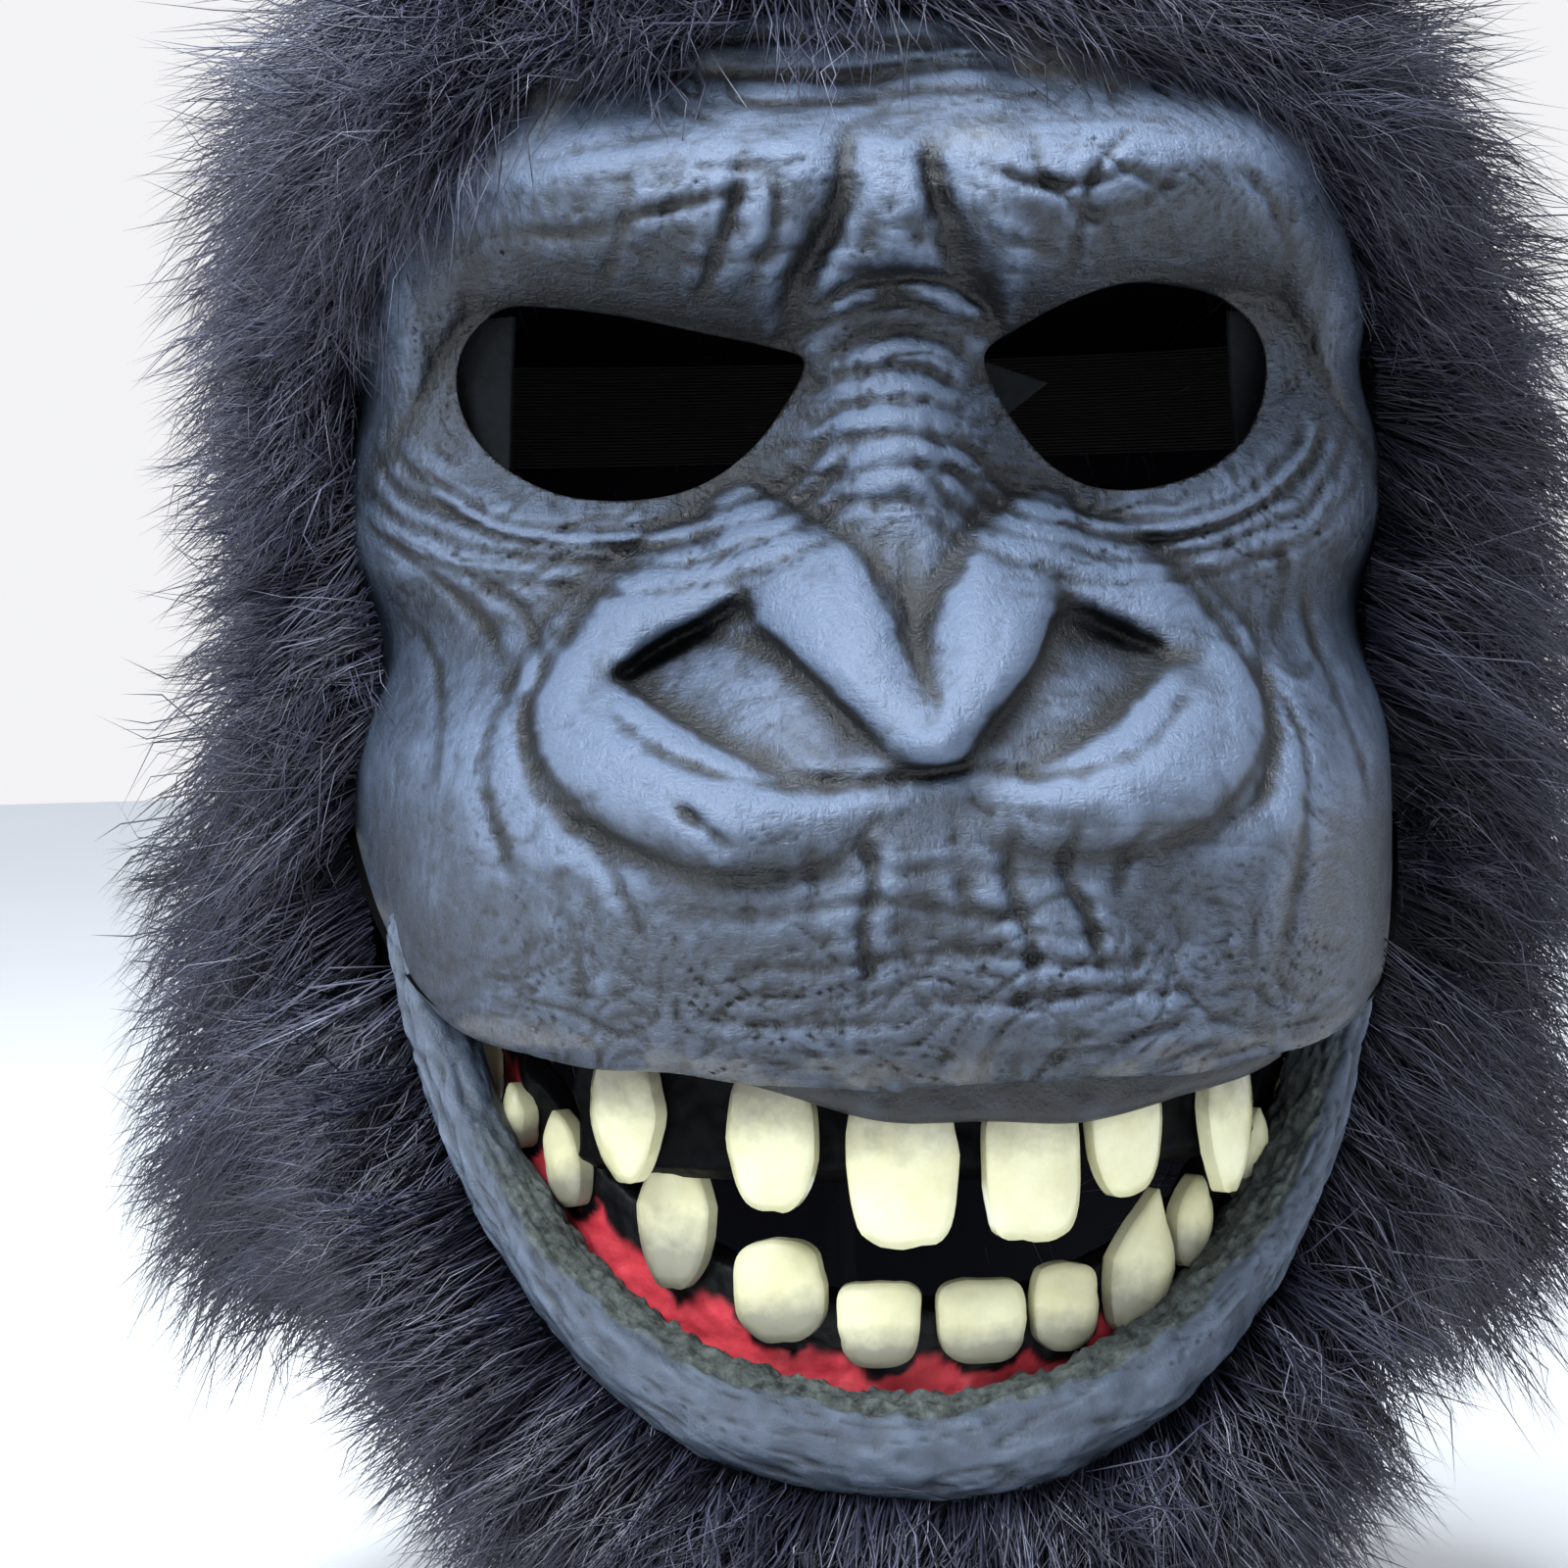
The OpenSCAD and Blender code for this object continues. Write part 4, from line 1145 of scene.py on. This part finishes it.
def panel_roots(rng, count, t0, t1, z0, z1, inside):
    """Even random roots over the head's surface between two angles and heights."""
    found = []
    total = 0
    while total < count:
        n = count * 2
        t = t0 + (t1 - t0) * rng.random(n)
        z = z0 + (z1 - z0) * rng.random(n)
        if z0 > 255:
            z = z1 - (z1 - z0) * rng.random(n) ** 2.2
        p, normal = head_frame(t, z)
        area = half_width(z) / 96 + 0.12
        ok = (rng.random(n) < area) & inside(p) & (z > hem(p[:, 0]))
        found.append(np.hstack([p[ok], normal[ok]]))
        total += int(ok.sum())
    all_found = np.vstack(found)[:count]
    return all_found[:, :3], all_found[:, 3:]


def face_line(p):
    """True outside the opening for the face."""
    x = p[:, 0]
    z = p[:, 2]
    side = np.interp(z, [0, 60, 118, 150, 178, 190, 200, 236, 262, 280, 290, 400],
                     [70, 76, 86, 89, 84, 84, 88, 88, 74, 52, 0, 0])
    return (np.abs(x) > side) | (p[:, 1] > -10)


def build_hood(settings):
    material = fur_material(settings)
    width = settings.strand_width / MM
    panels = (
        ("hood_side_left_front", -100, -40, 66, 290, 11900, ["fur_side_left"], 101),
        ("hood_side_left_rear", -128, -84, 66, 330, 6600, (), 102),
        ("hood_side_right_front", 40, 100, 66, 290, 11900, ["fur_side_right"], 103),
        ("hood_side_right_rear", 84, 128, 66, 330, 6600, (), 104),
        ("hood_back_left", -182, -120, 2, 320, 7600, ["fur_back_left"], 105),
        ("hood_back_right", 120, 182, 2, 320, 7600, ["fur_back_right"], 106),
        ("hood_crown_front", -70, 70, 262, 349.5, 11000, ["fur_crown"], 107),
        ("hood_crown_rear", 60, 300, 290, 349.9, 7600, (), 108),
    )
    for name, t0, t1, z0, z1, count, nodes, seed in panels:
        rng = np.random.default_rng(seed)
        p, normal = panel_roots(rng, count, math.radians(t0), math.radians(t1), z0, z1, face_line)
        way = comb(p, normal)
        off = stand_off(p)
        low = np.clip((p[:, 2] - hem(p[:, 0])) / 34 + 0.45, 0.45, 1)
        low = np.maximum(low, 0.85 * (p[:, 0] > 60))
        rim = smooth(15, 0, np.abs(p[:, 0]) - 84) * smooth(0, 20, -p[:, 1]) * (p[:, 2] < 268)
        long = np.maximum(off * 1.25, 36) * low * (1 - 0.35 * rim) * settings.pile
        lift = np.clip((off - 14) / 34, 0.15, 1.0)
        lift = lift + 0.35 * np.exp(-((p[:, 0] / 26) ** 2)) * smooth(285, 320, p[:, 2])
        strands = groom(p + normal * 2.4, normal, way, rng, long, lift, max(60, count // 22), width)
        base, quads = backing_for(name, t0, t1, z0, z1)
        obj = fur_object(name, base, quads, strands)
        finish_piece(obj, material, "head", nodes)
    build_fringe(settings, material)


def build_fringe(settings, material):
    """The bushy edge of the pile round the face."""
    for side, seed in ((-1, 301), (1, 302)):
        rng = np.random.default_rng(seed)
        count = 8000
        z = 62 + 222 * rng.random(count)
        z = np.where(rng.random(count) < 0.25, 64 + 60 * rng.random(count), z)
        rim = np.interp(z, [60, 80, 100, 118, 124, 175, 184, 194, 222, 228, 236, 262, 280, 286],
                        [74, 78, 84, 89, 91, 90, 88, 91, 91, 90, 90, 76, 56, 40])
        x = side * (rim - 1.5 + rng.exponential(2.6, count))
        edge = cast_front(np.minimum(rim, 91), z) + 1.5
        edge = np.where(z < 122, -46 + 10 * rng.random(count), edge)
        y = edge + rng.random(count) * np.interp(z, [60, 120, 124, 140, 240, 280], [50, 46, 24, 22, 22, 8])
        p = np.column_stack([x, y, z])
        out = np.column_stack([np.full(count, 0.75 * side), np.full(count, -0.45), np.full(count, -0.05)])
        way = np.column_stack([np.full(count, 0.65 * side), np.full(count, -0.40), np.full(count, -0.55)])
        low_right = (smooth(128, 108, z) * (side > 0))[:, None]
        way = way + low_right * np.array([[-1.15, -1.0, -0.10]])
        out = out + low_right * np.array([[-0.95, -0.5, 0.0]])
        swirl = np.column_stack([cloud(z / 14, y / 14, seed), cloud(z / 12, y / 9 + 7, seed + 1),
                                 cloud(z / 17 + 5, y / 10, seed + 2)])
        way = unit(way + 0.5 * swirl)
        long = (24 + 12 * rng.random(count) + 26 * low_right[:, 0]) * settings.pile
        strands = groom(p, unit(out), way, rng, long, 0.35, max(60, count // 20), settings.fringe_width / MM)
        turns = np.radians(np.linspace(80, 88, 5)) * side
        if side > 0:
            turns = turns[::-1]
        tt, hh = mesh_of(turns, 12)
        at, normal = head_frame(tt, 130 + 110 * hh)
        base, quads = closed_grid(at - normal * 2.6, at - normal * 4.0, 4, 12)
        name = "fringe_left" if side < 0 else "fringe_right"
        obj = fur_object(name, base, quads, strands)
        finish_piece(obj, material, "head")


def backing_for(name, t0, t1, z0, z1):
    """The backing under one panel, kept clear of the face opening and the hem's arches."""
    def floor(t):
        if name == "hood_crown_front":
            return np.full(t.shape, 289.0)
        p, _ = head_frame(t, np.full(t.shape, 120.0))
        return np.maximum(z0, hem(p[:, 0]) + 1)
    lo, hi = t0, t1
    if name == "hood_side_left_front":
        hi = -76
    if name == "hood_side_right_front":
        lo = 76
    return backing(math.radians(lo), math.radians(hi), floor, min(z1, CROWN_POLE), 24, 26)


def beard_at(a, z, inset):
    """A point on the beard's skin, which hangs from under the lower lip."""
    _, cx, cy, crest, radius = jaw_line(a)
    top = crest - 0.8 * radius
    low = np.clip((top - z) / 30, 0, 1.2)
    shrink = 1 - 0.16 * low ** 1.5
    out = np.column_stack([np.sin(a), -np.cos(a), 0 * a])
    middle = np.column_stack([cx * shrink, JAW_Y + (cy - JAW_Y) * shrink, z])
    return middle + out * (4.0 - inset)[:, None]


def build_beard(settings):
    rng = np.random.default_rng(201)
    count = 10800
    side = 80
    a = np.radians(-side + 2 * side * rng.random(count))
    _, _, _, crest, radius = jaw_line(a)
    tops = crest - 0.8 * radius
    low = 30 + 42 * smooth(0.55, 1.35, np.abs(a))
    z = low + (tops - low) * rng.random(count) ** 0.7
    p = beard_at(a, z, 0 * a)
    normal = unit(np.column_stack([np.sin(a), -np.cos(a), -0.25 + 0 * a]))
    way = np.column_stack([0.65 * np.sin(a) - 0.25, 0.05 - 0.1 * np.cos(a), -0.80 + 0 * a])
    way = unit(way + 0.40 * np.column_stack([cloud(a * 5, z / 20, 95), cloud(a * 6, z / 16, 96), 0 * a]))
    drop = np.clip(z - 14, 10, 38) * settings.pile
    strands = groom(p, normal, way, rng, drop, 0.35, max(60, count // 22), settings.strand_width / MM)
    across = 48
    up = 10
    tt, hh = mesh_of(np.radians(np.linspace(-side, side, across + 1)), up)
    _, _, _, crest, radius = jaw_line(tt)
    low = 27 + 42 * smooth(0.55, 1.35, np.abs(tt))
    zz = low + (crest - 0.7 * radius - low) * hh
    outer = beard_at(tt, zz, 0 * tt + 1.0)
    inner = beard_at(tt, zz, 0 * tt + 4.0)
    base, quads = closed_grid(outer, inner, across, up)
    obj = fur_object("beard_pile", base, quads, strands)
    finish_piece(obj, bpy.data.materials["black_faux_fur"], "jaw", ["fur_beard"])


def behind_face(x, z, back):
    """Points behind the face casting's front."""
    return np.column_stack([x, cast_front(x, z) - face_masses(x, z) + back, z])


FELT_MM = 1.2


def build_patch(name, corners, back, thickness, material, node):
    """A patch between four corners (x, z), from lower left round to upper left."""
    obj, a, b = grid_piece(name, 22, 16)
    c = np.array(corners, float)
    low = c[0] * (1 - a)[:, None] + c[1] * a[:, None]
    high = c[3] * (1 - a)[:, None] + c[2] * a[:, None]
    flat = low * (1 - b)[:, None] + high * b[:, None]
    place(obj, behind_face(flat[:, 0], flat[:, 1], back))
    face_front(obj)
    apply_modifier(obj, "SOLIDIFY", thickness=thickness * MM, offset=-1)
    apply_modifier(obj, "BEVEL", width=0.0003, segments=2, limit_method="ANGLE")
    finish_piece(obj, material, "head", [node])
    return obj


def dress_fittings():
    # the foam and felt are their own dark colour taken near black, as painted shade inside the mask and the
    # eye holes
    foam = cloth_material("charcoal_foam", (0.0022, 0.0022, 0.0025), 500)
    felt = cloth_material("dark_felt", (0.008, 0.010, 0.012), 350)
    weave = weave_material()
    pad = build_patch("brow_pad_foam", [(-33, 247), (33, 247), (33, 264), (-33, 264)], 6.5, 8, foam,
                      "brow_pad")
    for name, corners, back, node in (
        ("nose_patch_felt", [(-12, 219), (15, 217), (28, 226), (-12, 239)], 5.0, "nose_patch"),
        ("temple_patch_felt_left", [(-84, 204), (-64, 204), (-62, 240), (-84, 240)], 5.5,
         "temple_patch_left"),
        ("temple_patch_felt_right", [(62, 204), (84, 204), (84, 238), (61, 238)], 5.5,
         "temple_patch_right"),
    ):
        build_patch(name, corners, back, FELT_MM, felt, node)
    for names, material in ((("chin_cup",), foam), (("head_strap", "neck_tape"), weave)):
        for name in names:
            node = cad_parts[name]
            node.data.materials.clear()
            node.data.materials.append(material)


def build_inner_lip(settings):
    """The casting's second, inner lip, which shows under the right half of the upper lip."""
    obj, a, b = grid_piece("inner_lip", 90, 20)
    x = -34 + 92 * a
    top = lip_edge(x) + 6
    low = 108.5 + 7.5 * np.abs((x - 14) / 44) ** 2.2 + 0.5 * np.sin(x / 5)
    turn = np.radians(120) * np.clip(1 - b / 0.4, 0, 1)
    rise = np.clip((b - 0.4) / 0.6, 0, 1)
    z = np.where(b < 0.4, low + 2.2 - 2.2 * np.sin(turn), low + 2.2 + (top - low) * rise)
    y = cast_front(x, top + 6) - face_masses(x, top + 6) + 8.5 + 2.2 * (1 - np.cos(turn))
    y = y - 0.4 * cloud(x / 4, z / 3, 101)
    place(obj, np.column_stack([x, y, z]))
    # the inner lip is painted near black, as painted shade under the upper lip
    write_value(obj, "relief", 0.16 + 0.2 * cloud(x / 5, z / 2, 102))
    write_value(obj, "crust", 0 * x)
    write_value(obj, "inside", 0 * x)
    face_front(obj)
    apply_modifier(obj, "SOLIDIFY", thickness=0.0018, offset=-1)
    finish_piece(obj, lip_material(settings), "head")


LAMP_AIM = Vector((0, -0.05, 0.18))
AIM_Y = -0.095
CAMERA_AWAY = 0.8


def build_stage(settings):
    clear_selection()
    bpy.ops.mesh.primitive_plane_add(size=6, location=(0, 0, 0))
    floor = bpy.context.object
    floor.name = "studio_floor"
    pick(floor)
    bpy.ops.object.mode_set(mode="EDIT")
    bpy.ops.mesh.select_all(action="SELECT")
    bpy.ops.mesh.subdivide(number_cuts=1)
    bpy.ops.object.mode_set(mode="OBJECT")
    n = Nodes("pale_floor")
    n.colour(n.ramp(n.noise(3, 2), [(0.3, (0.70, 0.70, 0.70)), (0.7, (0.73, 0.73, 0.73))]))
    n.shader.inputs["Roughness"].default_value = 0.8
    n.shader.inputs["Emission Color"].default_value = (1, 1, 1, 1)
    n.shader.inputs["Emission Strength"].default_value = 0.22
    floor.data.materials.append(n.mat)
    world = bpy.data.worlds.new("studio")
    bpy.context.scene.world = world
    world.use_nodes = True
    tree = world.node_tree
    tree.nodes["Background"].inputs["Strength"].default_value = settings.ambient
    where = tree.nodes.new("ShaderNodeTexCoord")
    split = tree.nodes.new("ShaderNodeSeparateXYZ")
    sky = tree.nodes.new("ShaderNodeValToRGB")
    fill_ramp(sky.color_ramp, ((0.0, (2.5, 2.5, 2.55)), (0.19, (2.5, 2.5, 2.55)),
                               (0.28, (0.45, 0.52, 0.64)), (1.0, (2.1, 2.35, 2.75))))
    tree.links.new(where.outputs["Generated"], split.inputs[0])
    tree.links.new(split.outputs["Z"], sky.inputs["Fac"])
    tree.links.new(sky.outputs["Color"], tree.nodes["Background"].inputs["Color"])
    for name, place_m, size, power, colour in (
        ("key_panel", (-0.75, -0.65, 1.15), 0.7, settings.key, (0.88, 0.94, 1.0)),
        ("fill_panel", (1.1, -0.9, 0.6), 0.8, settings.fill, (0.85, 0.92, 1.0)),
        ("top_panel", (0.05, -0.15, 1.3), 0.7, settings.top, (0.88, 0.94, 1.0)),
    ):
        light = bpy.data.lights.new(name, "AREA")
        light.energy = power
        light.size = size
        light.color = colour
        lamp = bpy.data.objects.new(name, light)
        bpy.context.collection.objects.link(lamp)
        lamp.location = place_m
        aim = LAMP_AIM - Vector(place_m)
        lamp.rotation_euler = aim.to_track_quat("-Z", "Y").to_euler()
    azimuth = math.radians(settings.azimuth)
    elevation = math.radians(settings.elevation)
    target = Vector((settings.aim_x, AIM_Y, settings.aim_z))
    level = math.cos(elevation)
    back = Vector((math.sin(azimuth) * level, -math.cos(azimuth) * level, math.sin(elevation)))
    data = bpy.data.cameras.new("camera")
    data.sensor_width = 36
    data.lens = settings.lens
    camera = bpy.data.objects.new("camera", data)
    bpy.context.collection.objects.link(camera)
    camera.location = target + back * CAMERA_AWAY
    look = (-back).to_track_quat("-Z", "Y")
    camera.rotation_mode = "QUATERNION"
    camera.rotation_quaternion = look @ Quaternion((0, 0, 1), math.radians(settings.roll))
    bpy.context.scene.camera = camera
    bpy.context.scene.view_settings.view_transform = "Standard"


# ---------------------------------------------------------------- settings and operators
def number(name, description, default, **more):
    return bpy.props.FloatProperty(name=name, description=description, default=default, **more)


def colour_of(name, description, default):
    return bpy.props.FloatVectorProperty(name=name, description=description, default=default, size=3,
                                         subtype="COLOR", min=0.0, max=1.0)


class GorillaMaskSettings(bpy.types.PropertyGroup):
    face_wall: number("Face wall", "Thickness of the face casting", 0.0024, min=0.001, unit="LENGTH")
    jaw_wall: number("Jaw wall", "Thickness of the jaw casting", 0.0022, min=0.001, unit="LENGTH")
    pile: number("Pile", "Length of the fur, as a share of its usual length", 1.0, min=0.3, max=1.2)
    strand_width: number("Strand width", "Radius of a strand of the hood and beard", 0.00022, precision=5,
                         unit="LENGTH")
    fringe_width: number("Fringe width", "Radius of a strand beside the face", 0.000215, precision=6,
                         unit="LENGTH")
    latex: colour_of("Latex", "Colour of the latex at its middle heights", (0.034, 0.048, 0.075))
    # the colour on the latex's high places is partly dry-brushed paint and partly a bluish painted highlight
    latex_highlight: colour_of("Latex highlight", "Colour of the latex on its high places", (0.105, 0.143, 0.216))
    lip: colour_of("Lower lip", "Colour of the lower lip at its middle heights", (0.055, 0.073, 0.106))
    tooth: colour_of("Teeth", "Lighter colour of the teeth", (0.72, 0.70, 0.45))
    gum: colour_of("Gum", "Main red of the lower gum", (0.72, 0.07, 0.09))
    fur: colour_of("Fur", "Colour of the fur's darker strands", (0.022, 0.023, 0.040))
    # the lightest strands' colour is partly painted sheen
    stray_sheen: colour_of("Fur sheen strands", "Colour of the lightest single strands", (0.27, 0.275, 0.34))


class GorillaStageSettings(bpy.types.PropertyGroup):
    azimuth: number("Azimuth", "Camera's turn round the mask, in degrees", -3.0)
    elevation: number("Elevation", "Camera's height above level, in degrees", 3.0)
    roll: number("Roll", "Camera's roll, in degrees", -1.5)
    lens: number("Lens", "Focal length, in millimetres", 112.5)
    aim_x: number("Aim X", "Where the camera looks, from side to side", -0.020, unit="LENGTH")
    aim_z: number("Aim Z", "Where the camera looks, in height", 0.161, unit="LENGTH")
    ambient: number("Ambient", "Strength of the light all round", 0.36)
    key: number("Key", "Power of the main light", 28.0, unit="POWER")
    fill: number("Fill", "Power of the side light", 1.5, unit="POWER")
    top: number("Top", "Power of the overhead light", 19.0, unit="POWER")


class GORILLA_OT_face(bpy.types.Operator):
    """Build the latex face"""
    bl_idname = "gorilla.face"
    bl_label = "Latex face"

    def execute(self, context):
        build_face(context.scene.gorilla_mask)
        return {"FINISHED"}


class GORILLA_OT_jaw(bpy.types.Operator):
    """Build the latex jaw"""
    bl_idname = "gorilla.jaw"
    bl_label = "Latex jaw"

    def execute(self, context):
        build_jaw(context.scene.gorilla_mask)
        build_inner_lip(context.scene.gorilla_mask)
        return {"FINISHED"}


class GORILLA_OT_gums(bpy.types.Operator):
    """Build both gums"""
    bl_idname = "gorilla.gums"
    bl_label = "Gums"

    def execute(self, context):
        build_gums(context.scene.gorilla_mask)
        return {"FINISHED"}


class GORILLA_OT_teeth(bpy.types.Operator):
    """Build all the teeth"""
    bl_idname = "gorilla.teeth"
    bl_label = "Teeth"

    def execute(self, context):
        build_teeth(context.scene.gorilla_mask)
        return {"FINISHED"}


class GORILLA_OT_hood(bpy.types.Operator):
    """Build the faux-fur hood"""
    bl_idname = "gorilla.hood"
    bl_label = "Fur hood"

    def execute(self, context):
        build_hood(context.scene.gorilla_mask)
        return {"FINISHED"}


class GORILLA_OT_beard(bpy.types.Operator):
    """Build the fur beard"""
    bl_idname = "gorilla.beard"
    bl_label = "Fur beard"

    def execute(self, context):
        build_beard(context.scene.gorilla_mask)
        return {"FINISHED"}


class GORILLA_OT_fittings(bpy.types.Operator):
    """Dress the pads, patches, strap and tape"""
    bl_idname = "gorilla.fittings"
    bl_label = "Inside fittings"

    def execute(self, context):
        dress_fittings()
        return {"FINISHED"}


class GORILLA_OT_stage(bpy.types.Operator):
    """Build the floor, the lights and the camera"""
    bl_idname = "gorilla.stage"
    bl_label = "Stage"

    def execute(self, context):
        build_stage(context.scene.gorilla_stage)
        return {"FINISHED"}


OPERATORS = (GORILLA_OT_face, GORILLA_OT_jaw, GORILLA_OT_gums, GORILLA_OT_teeth, GORILLA_OT_hood,
             GORILLA_OT_beard, GORILLA_OT_fittings, GORILLA_OT_stage)
CLASSES = (GorillaMaskSettings, GorillaStageSettings, *OPERATORS)


class GORILLA_PT_panel(bpy.types.Panel):
    """Lists the mask's operators"""
    bl_idname = "GORILLA_PT_panel"
    bl_label = "Gorilla Mask"
    bl_space_type = "VIEW_3D"
    bl_region_type = "UI"
    bl_category = "Gorilla Mask"

    def draw(self, context):
        for operator in OPERATORS:
            self.layout.operator(operator.bl_idname)


def register():
    for part in (*CLASSES, GORILLA_PT_panel):
        bpy.utils.register_class(part)
    bpy.types.Scene.gorilla_mask = bpy.props.PointerProperty(type=GorillaMaskSettings)
    bpy.types.Scene.gorilla_stage = bpy.props.PointerProperty(type=GorillaStageSettings)


def unregister():
    del bpy.types.Scene.gorilla_stage
    del bpy.types.Scene.gorilla_mask
    for part in reversed((*CLASSES, GORILLA_PT_panel)):
        bpy.utils.unregister_class(part)


def main():
    register()
    bpy.ops.gorilla.face()
    bpy.ops.gorilla.jaw()
    bpy.ops.gorilla.gums()
    bpy.ops.gorilla.teeth()
    bpy.ops.gorilla.hood()
    bpy.ops.gorilla.beard()
    bpy.ops.gorilla.fittings()
    bpy.ops.gorilla.stage()


if __name__ == "__main__":
    main()
